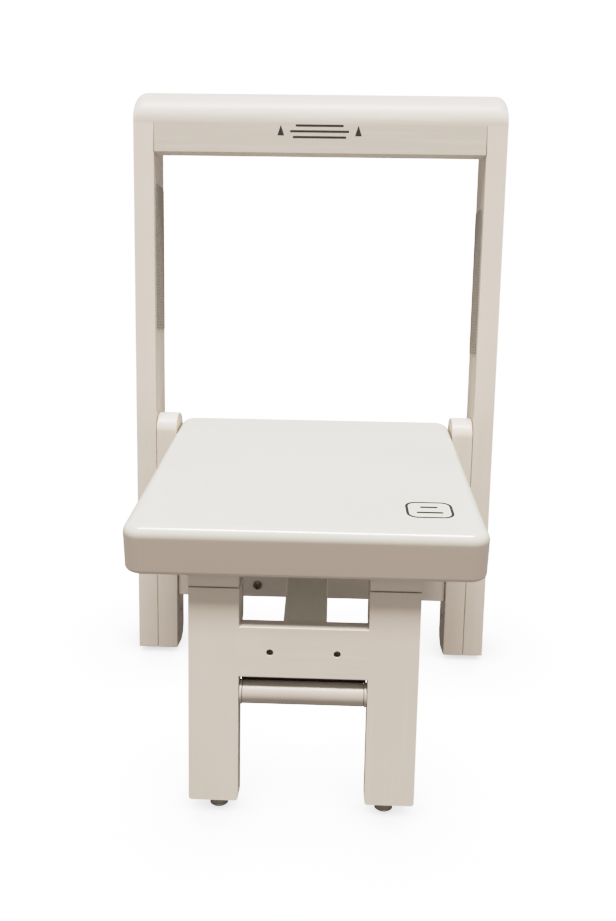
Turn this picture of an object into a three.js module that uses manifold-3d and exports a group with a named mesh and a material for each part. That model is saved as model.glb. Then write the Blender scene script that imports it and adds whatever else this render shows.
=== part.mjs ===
// A folding children's step seat. A back frame leans to the rear. A seat is hinged between two blocks
// at its foot, a short leg frame is hinged under the front of the seat, and a centre brace below the
// seat keeps the legs parallel to the back frame, so that seat and legs fold up flat together.
//
// Millimetres. X runs to the right, Y to the rear, Z up. Leaning pieces are drawn in a leaning frame,
// in which Y runs through the thickness of the boards and Z runs up along them.
import * as THREE from "three";
import { mergeVertices } from "three/addons/utils/BufferGeometryUtils.js";
import Module from "manifold-3d";

const wasm = await Module();
wasm.setup();

// Driving dimensions ------------------------------------------------------------------------------

const LEAN = THREE.MathUtils.degToRad(11);  // back frame and legs lean to the rear
const JOINT_GAP = 0.3;                      // between pieces that touch
const BOLT_CLEARANCE = 0.1;                 // around a pin or screw, on the radius
const ROUND_STEPS = 6;                      // straight steps in a quarter turn
const OVERRUN = 1;                          // how far a cutting tool runs past the face it cuts

const FRAME_WIDTH = 406;
const UPRIGHT_LENGTH = 596;
const UPRIGHT_WIDTH = 22.6;
const UPRIGHT_FRONT_DEPTH = 20;             // front board of the laminated upright
const UPRIGHT_REAR_DEPTH = 34;              // rear board
const FOOT_RADIUS = 22;                     // rounded rear corner that the frame stands on

const LEDGE_THICKNESS = 38;
const LEDGE_DEPTH = 78;
const LEDGE_END_RADIUS = 11;
const LEDGE_REAR_RADIUS = 6;
const APRON_HEIGHT = 31;
const APRON_THICKNESS = 21;

const BLOCK_WIDTH = 23;
const BLOCK_DEPTH = 44;
const BLOCK_ABOVE_PIVOT = 32;
const BLOCK_TOP_RADIUS = 20;
const BLOCK_FOOT_RADIUS = 20;
const BLOCK_SCREW_INSET = 25.5;             // screw line behind the front face
const BLOCK_SCREW_HEIGHTS = { lower: 40, upper: 160 };

const REAR_RAIL_HEIGHT = 45.5;
const REAR_RAIL_THICKNESS = 20;
const REAR_RAIL_SETBACK = 5;
const REAR_RAIL_RISE = 63.5;                // underside above the foot of the frame
const RAIL_SCREW_X = -63;
const RAIL_SCREW_RISE = 14.2;               // above the underside of the rail

const SEAT_SIDE_GAP = 0.6;                  // between the seat and each hinge block
const SEAT_DEPTH = 327;
const SEAT_THICKNESS = 44;
const SEAT_CORNER_RADIUS = 17;
const SEAT_TOP_RADIUS = 10;
const SEAT_BOTTOM_RADIUS = 4;
const SEAT_SKIN = 6;                        // top skin of the shell
const SEAT_WALL = 5;                        // side walls of the shell
const SEAT_PIVOT_FROM_REAR = 24.7;
const SEAT_PIVOT_RISE = 246;                // along the frame
const SEAT_PIVOT_INSET = 25.5;              // behind the front face of the frame
const PIVOT_BOLT_RADIUS = 4;
const BOLT_HEAD_RADIUS = 6;
const BOLT_HEAD_HEIGHT = 3;
const SIDE_RAIL_WIDTH = 16;
const SIDE_RAIL_HEIGHT = 30;

const LEG_HINGE_FROM_SEAT_FRONT = 38.2;
const LEG_HINGE_BELOW_SEAT = 29.3;
const LINK_OFFSET = 45;                     // brace pivots below the seat and leg hinges
const LINK_PIN_RADIUS = 3.5;
const EAR_RADIUS = 9;                       // rounded ends of the ears around a link pin
const LUG_RADIUS = 8.5;                     // rounded end of a leg lug around its pin

const LEG_WIDTH = 44.4;
const LEG_THICKNESS = 20;
const LEG_FRAME_WIDTH = 202.4;
const LEG_TOP_ABOVE_HINGE = 8.3;
const CHEEK_REAR = 11;                      // cheeks behind the leg hinge
const CHEEK_HEIGHT = 40;
const LEG_FOOT_RADIUS = 3;
const LUG_WIDTH = 16;
const LUG_SIDE_GAP = 0.6;
const LUG_BAR_LENGTH = 120;                 // of the bar that carries the lug, inside the seat
const LUG_BAR_AHEAD = 18;                   // of the leg hinge
const LUG_BAR_RISE = 2;                     // above the open underside of the seat
const CHEEK_EASE = 1;                       // flat left beside each rounded corner of a cheek
const PIN_INSET = 1;                        // pin ends inside the faces that they stop behind

const CROSS_RAIL_HEIGHT = 45.8;
const CROSS_RAIL_CENTRE = 49;               // below the leg hinge
const CROSS_SCREW_SPACING = 59;
const CROSS_SCREW_HEAD_RADIUS = 3;
const CROSS_SCREW_RECESS = 3;

const BRACE_WIDTH = 40;
const BRACE_THICKNESS = 20;
const EAR_WIDTH = 16;
const EAR_SIDE_GAP = 0.6;                   // beside the brace
const BRACE_END_GAP = 1;                    // between the brace's round end and the cross rail
const BRACE_RAIL_THICKNESS = 16;
const BRACE_RAIL_TOP_ABOVE_PIVOT = 10;
const BRACE_RAIL_HEIGHT = 42;

const ROLLER_BELOW_HINGE = 89.6;
const ROLLER_RADIUS = 10.2;
const ROLLER_BORE_RADIUS = 5.4;
const ROD_RADIUS = 5;
const COLLAR_WIDTH = 2.5;
const COLLAR_RADIUS = 10.8;

const GLIDE_RADIUS = 8.2;
const GLIDE_DOME_RADIUS = 12;
const GLIDE_HEIGHT = 9.6;
const GLIDE_INBOARD = 4.3;                  // towards the middle, from the middle of the leg

const SCREW_HEAD_RADIUS = 5.2;
const SCREW_HEAD_HEIGHT = 2.6;
const SCREW_SHANK_RADIUS = 2;
const SCREW_TIP_LENGTH = 4;                 // tapered end of the shank
const SCREW_TIP_FLAT = 0.5;                 // blunt end of the taper
const CROSS_LENGTH_SHARE = 0.55;            // half length of each slot of the cross, of the head's radius
const CROSS_WIDTH_SHARE = 0.13;             // half width of each slot, of the head's radius
const CROSS_FLOOR_SHARE = 0.45;             // height of the cross's floor, of the head's height
const BLOCK_SCREW_HEAD_RADIUS = 3.4;
const BLOCK_SCREW_SINK = 4;                 // depth of the hole that hides the head
const BLOCK_SCREW_BITE = 12;                // length of screw in the upright
const RAIL_SCREW_COVER = 3;                 // wood left behind the screw's tip
const EAR_SCREW_CLEAR = 2;                  // between the screw's tip and the pin
const CLEVIS_SCREW_BITE = 5;
const ROD_BITE = 12;                        // length of rod in each leg
const BOLT_SINK = 5;                        // depth of the hole that hides the bolt head
const OPEN_PIVOT_CLEARANCE = 0.6;           // the brace's front hole, on the radius
const BRACE_NOTCH_CLEARANCE = 3;

const STICKER_LENGTH = 159;
const STICKER_WIDTH = 42;
const STICKER_THICKNESS = 0.5;
const STICKER_SETBACK = 9;
const STICKER_ABOVE_MIDDLE = { left: 32, right: 10 };  // of the clear height above the hinge blocks

// Derived places ----------------------------------------------------------------------------------

const UPRIGHT_DEPTH = UPRIGHT_FRONT_DEPTH + UPRIGHT_REAR_DEPTH;
const UPRIGHT_INNER_X = FRAME_WIDTH / 2 - UPRIGHT_WIDTH;
const BLOCK_INNER_X = UPRIGHT_INNER_X - JOINT_GAP - BLOCK_WIDTH;
const BLOCK_HEIGHT = SEAT_PIVOT_RISE + BLOCK_ABOVE_PIVOT;
const SEAT_WIDTH = 2 * (BLOCK_INNER_X - SEAT_SIDE_GAP);
const LINK_FORWARD = SEAT_DEPTH - SEAT_PIVOT_FROM_REAR - LEG_HINGE_FROM_SEAT_FRONT;
const LINK_DROP = SEAT_THICKNESS / 2 + LEG_HINGE_BELOW_SEAT;
const LEG_HINGE_BEHIND = BRACE_THICKNESS / 2 + BRACE_END_GAP;
const LEG_INNER_X = LEG_FRAME_WIDTH / 2 - LEG_WIDTH;
const LEG_CENTRE_X = LEG_INNER_X + LEG_WIDTH / 2;
const EAR_INNER_X = BRACE_WIDTH / 2 + EAR_SIDE_GAP;
const HINGE_FRONT = LEG_THICKNESS + LEG_HINGE_BEHIND;
const LEG_FRONT = -HINGE_FRONT;
const LEG_REAR = LEG_FRONT + LEG_THICKNESS;
const LEG_MIDDLE = (LEG_FRONT + LEG_REAR) / 2;
const SIDES = [["left", -1], ["right", 1]];

// A point of the leaning frame, y to the rear and z up along the boards, as level Y and Z.
function leaning(y, z) {
  return new THREE.Vector2(z * Math.sin(LEAN) + y * Math.cos(LEAN), z * Math.cos(LEAN) - y * Math.sin(LEAN));
}

const SEAT_PIVOT = leaning(SEAT_PIVOT_INSET, SEAT_PIVOT_RISE);
const LEG_PIVOT = new THREE.Vector2(SEAT_PIVOT.x - LINK_FORWARD, SEAT_PIVOT.y - LINK_DROP);
const BRACE_PIVOT_RISE = SEAT_PIVOT_RISE - LINK_OFFSET;
const FOOT_CENTRE = leaning(UPRIGHT_DEPTH - FOOT_RADIUS, FOOT_RADIUS);
const FLOOR = FOOT_CENTRE.y - FOOT_RADIUS;

// The glide's dome is centred one dome radius above the floor that the rounded feet of the frame stand on.
const DOME_CENTRE = (FLOOR + GLIDE_DOME_RADIUS - LEG_PIVOT.y + LEG_MIDDLE * Math.sin(LEAN)) / Math.cos(LEAN);
const GLIDE_TOP = DOME_CENTRE - GLIDE_DOME_RADIUS + GLIDE_HEIGHT;
const LEG_FOOT = GLIDE_TOP + JOINT_GAP;

// Materials ---------------------------------------------------------------------------------------

const painted = new THREE.MeshStandardMaterial({ color: 0xe9e4dc, roughness: 0.45, metalness: 0 });
const moulded = new THREE.MeshStandardMaterial({ color: 0xf1f0ea, roughness: 0.25, metalness: 0 });
const greyWhite = new THREE.MeshStandardMaterial({ color: 0xdcdcd2, roughness: 0.4, metalness: 0 });
const darkScrew = new THREE.MeshStandardMaterial({ color: 0x3a322c, roughness: 0.4, metalness: 1 });
const plainSteel = new THREE.MeshStandardMaterial({ color: 0xb9b9b6, roughness: 0.35, metalness: 1 });
const darkNylon = new THREE.MeshStandardMaterial({ color: 0x55524e, roughness: 0.5, metalness: 0 });
const paperGrey = new THREE.MeshStandardMaterial({ color: 0xb5b0a8, roughness: 0.6, metalness: 0 });

// Solid helpers -----------------------------------------------------------------------------------

const MERGE_DISTANCE = 1e-4;

function toSolid(geometry) {
  const bare = geometry.clone();
  bare.deleteAttribute("normal");
  bare.deleteAttribute("uv");
  const merged = mergeVertices(bare, MERGE_DISTANCE);
  const mesh = new wasm.Mesh({
    numProp: 3,
    vertProperties: new Float32Array(merged.attributes.position.array),
    triVerts: new Uint32Array(merged.index.array),
  });
  return new wasm.Manifold(mesh);
}

function toGeometry(solid) {
  const mesh = solid.getMesh();
  const geometry = new THREE.BufferGeometry();
  geometry.setAttribute("position", new THREE.BufferAttribute(new Float32Array(mesh.vertProperties), 3));
  geometry.setIndex(new THREE.BufferAttribute(new Uint32Array(mesh.triVerts), 1));
  geometry.computeVertexNormals();
  return geometry;
}

function cut(geometry, ...tools) {
  return toGeometry(tools.reduce((solid, tool) => solid.subtract(toSolid(tool)), toSolid(geometry)));
}

function join(geometry, ...others) {
  return toGeometry(others.reduce((solid, other) => solid.add(toSolid(other)), toSolid(geometry)));
}

function common(geometry, other) {
  return toGeometry(toSolid(geometry).intersect(toSolid(other)));
}

function box(x0, x1, y0, y1, z0, z1) {
  const geometry = new THREE.BoxGeometry(x1 - x0, y1 - y0, z1 - z0);
  return geometry.translate((x0 + x1) / 2, (y0 + y1) / 2, (z0 + z1) / 2);
}

// An outline in Y and Z, pushed along X from x0 to x1.
function alongX(shape, x0, x1) {
  const geometry = new THREE.ExtrudeGeometry(shape, {
    depth: x1 - x0, bevelEnabled: false, curveSegments: ROUND_STEPS,
  });
  const turn = new THREE.Matrix4().makeBasis(
    new THREE.Vector3(0, 1, 0), new THREE.Vector3(0, 0, 1), new THREE.Vector3(1, 0, 0),
  );
  return geometry.applyMatrix4(turn).translate(x0, 0, 0);
}

// An outline in X and Z, pushed along Y from y0 to y1.
function alongY(shape, y0, y1) {
  const geometry = new THREE.ExtrudeGeometry(shape, {
    depth: y1 - y0, bevelEnabled: false, curveSegments: ROUND_STEPS,
  });
  return geometry.rotateX(Math.PI / 2).translate(0, y1, 0);
}

// A rectangle with a radius for each corner: a, b, c and d run anticlockwise from x0, y0.
function roundedRectangle(x0, x1, y0, y1, [a, b, c, d]) {
  const corners = [
    [x0 + a, y0 + a, a, 2], [x1 - b, y0 + b, b, 3], [x1 - c, y1 - c, c, 0], [x0 + d, y1 - d, d, 1],
  ];
  const points = [];
  for (const [x, y, radius, quarter] of corners) {
    const steps = radius > 0 ? ROUND_STEPS : 0;
    for (let step = 0; step <= steps; step += 1) {
      const angle = (quarter + (steps ? step / steps : 0)) * Math.PI / 2;
      const point = new THREE.Vector2(x + radius * Math.cos(angle), y + radius * Math.sin(angle));
      const last = points[points.length - 1] ?? point.clone().addScalar(1);
      if (point.distanceTo(last) > MERGE_DISTANCE) points.push(point);
    }
  }
  if (points[0].distanceTo(points[points.length - 1]) < MERGE_DISTANCE) points.pop();
  return new THREE.Shape(points);
}

function rodX(x0, x1, radius, y, z) {
  const geometry = new THREE.CylinderGeometry(radius, radius, x1 - x0, 4 * ROUND_STEPS);
  return geometry.rotateZ(Math.PI / 2).translate((x0 + x1) / 2, y, z);
}

function rodY(y0, y1, radius, x, z) {
  const geometry = new THREE.CylinderGeometry(radius, radius, y1 - y0, 4 * ROUND_STEPS);
  return geometry.translate(x, (y0 + y1) / 2, z);
}

function named(name, geometry, material) {
  const mesh = new THREE.Mesh(geometry, material);
  mesh.name = name;
  return mesh;
}

// x0 and x1 are measured outwards from the middle; side is -1 on the left and 1 on the right.
function span(side, x0, x1) {
  return side > 0 ? [x0, x1] : [-x1, -x0];
}

// A screw along Y: the head's underside is at y = 0 and the shank runs to the rear.
function screwGeometry(headRadius, headHeight, length) {
  const profile = [
    [0, length], [SCREW_SHANK_RADIUS * 0.4, length - SCREW_TIP_FLAT],
    [SCREW_SHANK_RADIUS, length - SCREW_TIP_LENGTH],
    [SCREW_SHANK_RADIUS, 0], [headRadius, 0], [headRadius, -headHeight * 0.35],
    [headRadius * 0.85, -headHeight * 0.8], [headRadius * 0.5, -headHeight], [0, -headHeight],
  ].reverse().map(([radius, y]) => new THREE.Vector2(radius, y));
  const turned = new THREE.LatheGeometry(profile, 2 * ROUND_STEPS);
  const long = headRadius * CROSS_LENGTH_SHARE;
  const thin = headRadius * CROSS_WIDTH_SHARE;
  const floor = -headHeight * CROSS_FLOOR_SHARE;
  const slot = box(-long, long, -2 * headHeight, floor, -thin, thin);
  const crossSlot = box(-thin, thin, -2 * headHeight, floor, -long, long);
  return cut(turned, join(slot, crossSlot));
}

// A screw whose shank runs along +X (towards = 1) or -X (towards = -1).
function screwAlongX(headRadius, headHeight, length, towards, x, y, z) {
  return screwGeometry(headRadius, headHeight, length).rotateZ(-towards * Math.PI / 2).translate(x, y, z);
}

// A block with a round end: it starts at the flat face at yFace and ends round the pivot at y, z.
function earGeometry(x0, x1, yFace, y, z) {
  const body = yFace < y
    ? roundedRectangle(yFace, y + EAR_RADIUS, z - EAR_RADIUS, z + EAR_RADIUS, [0, EAR_RADIUS, EAR_RADIUS, 0])
    : roundedRectangle(y - EAR_RADIUS, yFace, z - EAR_RADIUS, z + EAR_RADIUS, [EAR_RADIUS, 0, 0, EAR_RADIUS]);
  return alongX(body, x0, x1);
}

// Back frame: drawn in the leaning frame, front face at y = 0, foot at z = 0 ------------------------

function blockScrewPlaces() {
  return Object.entries(BLOCK_SCREW_HEIGHTS).map(([place, height]) => ({ place, height }));
}

function pivotBoltHole() {
  const reach = FRAME_WIDTH;
  return rodX(-reach, reach, PIVOT_BOLT_RADIUS + BOLT_CLEARANCE, SEAT_PIVOT_INSET, SEAT_PIVOT_RISE);
}

function boltHeadSink(side) {
  const [x0, x1] = span(side, FRAME_WIDTH / 2 - BOLT_SINK, FRAME_WIDTH);
  return rodX(x0, x1, BOLT_HEAD_RADIUS + BOLT_CLEARANCE, SEAT_PIVOT_INSET, SEAT_PIVOT_RISE);
}

function uprightFront(side) {
  const [x0, x1] = span(side, UPRIGHT_INNER_X, FRAME_WIDTH / 2);
  const board = box(x0, x1, 0, UPRIGHT_FRONT_DEPTH - JOINT_GAP, 0, UPRIGHT_LENGTH);
  return cut(board, pivotBoltHole(), boltHeadSink(side));
}

function uprightRear(side) {
  const [x0, x1] = span(side, UPRIGHT_INNER_X, FRAME_WIDTH / 2);
  const corners = [0, FOOT_RADIUS, 0, 0];
  const outline = roundedRectangle(UPRIGHT_FRONT_DEPTH, UPRIGHT_DEPTH, 0, UPRIGHT_LENGTH, corners);
  const screwHoles = blockScrewPlaces().map(({ height }) => {
    const bite = BLOCK_SCREW_BITE + JOINT_GAP;
    const [hole0, hole1] = span(side, UPRIGHT_INNER_X - JOINT_GAP, UPRIGHT_INNER_X + bite);
    return rodX(hole0, hole1, SCREW_SHANK_RADIUS + BOLT_CLEARANCE, BLOCK_SCREW_INSET, height);
  });
  return cut(alongX(outline, x0, x1), pivotBoltHole(), boltHeadSink(side), ...screwHoles);
}

function ledge() {
  const z0 = UPRIGHT_LENGTH + JOINT_GAP;
  const z1 = z0 + LEDGE_THICKNESS;
  const half = FRAME_WIDTH / 2;
  const section = roundedRectangle(0, LEDGE_DEPTH, z0, z1, [0, 0, LEDGE_REAR_RADIUS, LEDGE_THICKNESS]);
  const outline = roundedRectangle(-half, half, z0, z1, [0, 0, LEDGE_END_RADIUS, LEDGE_END_RADIUS]);
  return common(alongX(section, -half, half), alongY(outline, -JOINT_GAP, LEDGE_DEPTH + JOINT_GAP));
}

function ledgeApron() {
  const half = UPRIGHT_INNER_X - JOINT_GAP;
  return box(-half, half, 0, APRON_THICKNESS, UPRIGHT_LENGTH - APRON_HEIGHT, UPRIGHT_LENGTH);
}

function hingeBlock(side) {
  const [x0, x1] = span(side, BLOCK_INNER_X, BLOCK_INNER_X + BLOCK_WIDTH);
  const corners = [0, BLOCK_FOOT_RADIUS, BLOCK_TOP_RADIUS, BLOCK_TOP_RADIUS];
  const outline = roundedRectangle(0, BLOCK_DEPTH, 0, BLOCK_HEIGHT, corners);
  const tools = [pivotBoltHole()];
  for (const { height } of blockScrewPlaces()) {
    const [hole0, hole1] = span(side, BLOCK_INNER_X - JOINT_GAP, UPRIGHT_INNER_X);
    tools.push(rodX(hole0, hole1, SCREW_SHANK_RADIUS + BOLT_CLEARANCE, BLOCK_SCREW_INSET, height));
    const [sink0, sink1] = span(side, BLOCK_INNER_X - JOINT_GAP, BLOCK_INNER_X + BLOCK_SCREW_SINK);
    tools.push(rodX(sink0, sink1, BLOCK_SCREW_HEAD_RADIUS + BOLT_CLEARANCE, BLOCK_SCREW_INSET, height));
  }
  return cut(alongX(outline, x0, x1), ...tools);
}

function blockScrew(side, height) {
  const headFace = BLOCK_INNER_X + BLOCK_SCREW_SINK - JOINT_GAP;
  const length = UPRIGHT_INNER_X + BLOCK_SCREW_BITE - headFace;
  return screwAlongX(
    BLOCK_SCREW_HEAD_RADIUS, SCREW_HEAD_HEIGHT, length, side, side * headFace, BLOCK_SCREW_INSET, height,
  );
}

function rearRail() {
  const half = BLOCK_INNER_X - JOINT_GAP;
  const y1 = REAR_RAIL_SETBACK + REAR_RAIL_THICKNESS;
  const rail = box(-half, half, REAR_RAIL_SETBACK, y1, REAR_RAIL_RISE, REAR_RAIL_RISE + REAR_RAIL_HEIGHT);
  const z = REAR_RAIL_RISE + RAIL_SCREW_RISE;
  return cut(rail, rodY(0, y1 - RAIL_SCREW_COVER, SCREW_SHANK_RADIUS + BOLT_CLEARANCE, RAIL_SCREW_X, z));
}

function railScrew() {
  const length = REAR_RAIL_THICKNESS - RAIL_SCREW_COVER;
  const z = REAR_RAIL_RISE + RAIL_SCREW_RISE;
  return screwGeometry(SCREW_HEAD_RADIUS, SCREW_HEAD_HEIGHT, length).translate(
    RAIL_SCREW_X, REAR_RAIL_SETBACK - JOINT_GAP, z,
  );
}

function earCentreX() {
  return EAR_INNER_X + EAR_WIDTH / 2;
}

function braceRail() {
  const half = BLOCK_INNER_X - JOINT_GAP;
  const y0 = UPRIGHT_DEPTH - BRACE_RAIL_THICKNESS;
  const top = BRACE_PIVOT_RISE + BRACE_RAIL_TOP_ABOVE_PIVOT;
  const rail = box(-half, half, y0, UPRIGHT_DEPTH, top - BRACE_RAIL_HEIGHT, top);
  const holes = SIDES.map(([, side]) => rodY(
    y0 - JOINT_GAP, UPRIGHT_DEPTH + JOINT_GAP, SCREW_SHANK_RADIUS + BOLT_CLEARANCE, side * earCentreX(),
    BRACE_PIVOT_RISE,
  ));
  return cut(rail, ...holes);
}

function braceEar(side) {
  const [x0, x1] = span(side, EAR_INNER_X, EAR_INNER_X + EAR_WIDTH);
  const face = UPRIGHT_DEPTH - BRACE_RAIL_THICKNESS - JOINT_GAP;
  const ear = earGeometry(x0, x1, face, SEAT_PIVOT_INSET, BRACE_PIVOT_RISE);
  const pinHole = linkPinHole(SEAT_PIVOT_INSET, BRACE_PIVOT_RISE);
  const screwHole = rodY(
    earScrewTip() - JOINT_GAP, face + JOINT_GAP, SCREW_SHANK_RADIUS + BOLT_CLEARANCE, side * earCentreX(),
    BRACE_PIVOT_RISE,
  );
  return cut(ear, pinHole, screwHole);
}

function earScrewTip() {
  return SEAT_PIVOT_INSET + LINK_PIN_RADIUS + EAR_SCREW_CLEAR;
}

function braceEarScrew(side) {
  const length = UPRIGHT_DEPTH + JOINT_GAP - earScrewTip();
  return screwGeometry(SCREW_HEAD_RADIUS, SCREW_HEAD_HEIGHT, length).rotateZ(Math.PI).translate(
    side * earCentreX(), UPRIGHT_DEPTH + JOINT_GAP, BRACE_PIVOT_RISE,
  );
}

function seatPivotBolt(side) {
  const outer = FRAME_WIDTH / 2 - BOLT_SINK + JOINT_GAP;
  const inner = SEAT_WIDTH / 2 - SEAT_WALL - SIDE_RAIL_WIDTH + PIN_INSET;
  const [x0, x1] = span(side, inner, outer + BOLT_HEAD_HEIGHT / 2);
  const [head0, head1] = span(side, outer, outer + BOLT_HEAD_HEIGHT);
  return join(
    rodX(x0, x1, PIVOT_BOLT_RADIUS, SEAT_PIVOT_INSET, SEAT_PIVOT_RISE),
    rodX(head0, head1, BOLT_HEAD_RADIUS, SEAT_PIVOT_INSET, SEAT_PIVOT_RISE),
  );
}

function linkPinHole(y, z) {
  return rodX(-FRAME_WIDTH, FRAME_WIDTH, LINK_PIN_RADIUS + BOLT_CLEARANCE, y, z);
}

function linkPin(reach, y, z) {
  return rodX(-reach, reach, LINK_PIN_RADIUS, y, z);
}

function sticker(side, aboveMiddle) {
  const middle = (BLOCK_HEIGHT + UPRIGHT_LENGTH - APRON_HEIGHT) / 2 + aboveMiddle;
  const rise = middle - STICKER_LENGTH / 2;
  const [x0, x1] = span(side, UPRIGHT_INNER_X - JOINT_GAP - STICKER_THICKNESS, UPRIGHT_INNER_X - JOINT_GAP);
  return box(x0, x1, STICKER_SETBACK, STICKER_SETBACK + STICKER_WIDTH, rise, rise + STICKER_LENGTH);
}

function backFrame() {
  const group = new THREE.Group();
  group.rotation.x = -LEAN;
  for (const [name, side] of SIDES) {
    group.add(named(`${name}_upright_front_board`, uprightFront(side), painted));
    group.add(named(`${name}_upright_rear_board`, uprightRear(side), painted));
    group.add(named(`${name}_hinge_block`, hingeBlock(side), painted));
    group.add(named(`${name}_seat_pivot_bolt`, seatPivotBolt(side), plainSteel));
    group.add(named(`${name}_brace_ear`, braceEar(side), painted));
    group.add(named(`${name}_brace_ear_screw`, braceEarScrew(side), darkScrew));
    group.add(named(`${name}_sticker`, sticker(side, STICKER_ABOVE_MIDDLE[name]), paperGrey));
    for (const { place, height } of blockScrewPlaces()) {
      group.add(named(`${name}_block_screw_${place}`, blockScrew(side, height), darkScrew));
    }
  }
  group.add(named("ledge", ledge(), painted));
  group.add(named("ledge_apron", ledgeApron(), painted));
  group.add(named("rear_rail", rearRail(), painted));
  group.add(named("rear_rail_screw", railScrew(), darkScrew));
  group.add(named("brace_rail", braceRail(), painted));
  const pinReach = EAR_INNER_X + EAR_WIDTH - JOINT_GAP;
  group.add(named("brace_rear_pin", linkPin(pinReach, SEAT_PIVOT_INSET, BRACE_PIVOT_RISE), plainSteel));
  return group;
}

// Seat: drawn level, with the seat hinge at y = 0, z = 0 --------------------------------------------

const SEAT_REAR = SEAT_PIVOT_FROM_REAR;
const SEAT_FRONT = SEAT_REAR - SEAT_DEPTH;
const SEAT_TOP = SEAT_THICKNESS / 2;
const SEAT_UNDERSIDE = SEAT_TOP - SEAT_THICKNESS;
const SKIN_UNDERSIDE = SEAT_TOP - SEAT_SKIN;

// A slab with rounded corners in plan and rounded upper and lower edges.
function slab(edgeRadius, z0, z1) {
  const half = SEAT_WIDTH / 2 - edgeRadius;
  const corner = SEAT_CORNER_RADIUS - edgeRadius;
  const outline = roundedRectangle(
    -half, half, SEAT_FRONT + edgeRadius, SEAT_REAR - edgeRadius, [corner, corner, corner, corner],
  );
  const geometry = new THREE.ExtrudeGeometry(outline, {
    depth: z1 - z0 - 2 * edgeRadius, bevelThickness: edgeRadius, bevelSize: edgeRadius,
    bevelSegments: ROUND_STEPS / 2, curveSegments: 1,
  });
  return geometry.translate(0, 0, z0 + edgeRadius);
}

function braceNotchTop() {
  const fromBracePivot = LINK_OFFSET - SEAT_REAR;
  const slope = LINK_DROP / LINK_FORWARD;
  const surface = BRACE_THICKNESS / 2 * Math.hypot(1, slope);
  return surface - fromBracePivot * slope + BRACE_NOTCH_CLEARANCE;
}

function seatShell() {
  const far = 2 * SEAT_DEPTH;
  const upper = common(slab(SEAT_TOP_RADIUS, SEAT_UNDERSIDE, SEAT_TOP), box(-far, far, -far, far, 0, far));
  const lower = common(
    slab(SEAT_BOTTOM_RADIUS, SEAT_UNDERSIDE, SEAT_TOP), box(-far, far, -far, far, -far, JOINT_GAP),
  );
  const half = SEAT_WIDTH / 2 - SEAT_WALL;
  const corner = SEAT_CORNER_RADIUS - SEAT_WALL;
  const pocketOutline = roundedRectangle(
    -half, half, SEAT_FRONT + SEAT_WALL, SEAT_REAR - SEAT_WALL, [corner, corner, corner, corner],
  );
  const pocket = new THREE.ExtrudeGeometry(pocketOutline, {
    depth: SKIN_UNDERSIDE - SEAT_UNDERSIDE + OVERRUN, bevelEnabled: false, curveSegments: 1,
  }).translate(0, 0, SEAT_UNDERSIDE - OVERRUN);
  const notchHalf = BRACE_WIDTH / 2 + BRACE_NOTCH_CLEARANCE;
  const notch = box(
    -notchHalf, notchHalf, SEAT_REAR - 2 * SEAT_WALL, SEAT_REAR + OVERRUN, SEAT_UNDERSIDE - OVERRUN,
    braceNotchTop(),
  );
  const pivotHole = rodX(-SEAT_WIDTH, SEAT_WIDTH, PIVOT_BOLT_RADIUS + BOLT_CLEARANCE, 0, 0);
  return cut(join(upper, lower), pocket, notch, pivotHole);
}

function seatSideRail(side) {
  const outer = SEAT_WIDTH / 2 - SEAT_WALL - JOINT_GAP;
  const [x0, x1] = span(side, outer - SIDE_RAIL_WIDTH, outer);
  const top = SKIN_UNDERSIDE - JOINT_GAP;
  const rail = box(
    x0, x1, SEAT_FRONT + SEAT_CORNER_RADIUS, SEAT_REAR - SEAT_CORNER_RADIUS, top - SIDE_RAIL_HEIGHT, top,
  );
  return cut(rail, rodX(-SEAT_WIDTH, SEAT_WIDTH, PIVOT_BOLT_RADIUS + BOLT_CLEARANCE, 0, 0));
}

function legLug(side) {
  const [x0, x1] = span(side, LEG_CENTRE_X - LUG_WIDTH / 2, LEG_CENTRE_X + LUG_WIDTH / 2);
  const y = -LINK_FORWARD;
  const z = -LINK_DROP;
  const tongue = roundedRectangle(
    y - LUG_RADIUS, y + LUG_RADIUS, z - LUG_RADIUS, 0, [LUG_RADIUS, LUG_RADIUS, 0, 0],
  );
  const bar = box(
    x0, x1, y - LUG_BAR_AHEAD, y - LUG_BAR_AHEAD + LUG_BAR_LENGTH,
    SEAT_UNDERSIDE + LUG_BAR_RISE, SKIN_UNDERSIDE - JOINT_GAP,
  );
  const solid = join(alongX(tongue, x0, x1), bar);
  return cut(solid, linkPinHole(y, z));
}

function seat() {
  const group = new THREE.Group();
  group.position.set(0, SEAT_PIVOT.x, SEAT_PIVOT.y);
  group.add(named("seat_shell", seatShell(), moulded));
  for (const [name, side] of SIDES) {
    group.add(named(`${name}_seat_rail`, seatSideRail(side), painted));
    group.add(named(`${name}_leg_lug`, legLug(side), painted));
  }
  return group;
}

// Leg frame: drawn in the leaning frame, with the leg hinge at y = 0, z = 0 --------------------------

function leg(side) {
  const [x0, x1] = span(side, LEG_INNER_X, LEG_INNER_X + LEG_WIDTH);
  const corners = [LEG_FOOT_RADIUS, LEG_FOOT_RADIUS, 0, 0];
  const outline = roundedRectangle(x0, x1, LEG_FOOT, LEG_TOP_ABOVE_HINGE, corners);
  const [hole0, hole1] = span(side, LEG_INNER_X - OVERRUN, LEG_INNER_X + ROD_BITE + JOINT_GAP);
  const rodHole = rodX(hole0, hole1, ROD_RADIUS + BOLT_CLEARANCE, LEG_MIDDLE, -ROLLER_BELOW_HINGE);
  return cut(alongY(outline, LEG_FRONT, LEG_REAR), rodHole);
}

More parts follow.
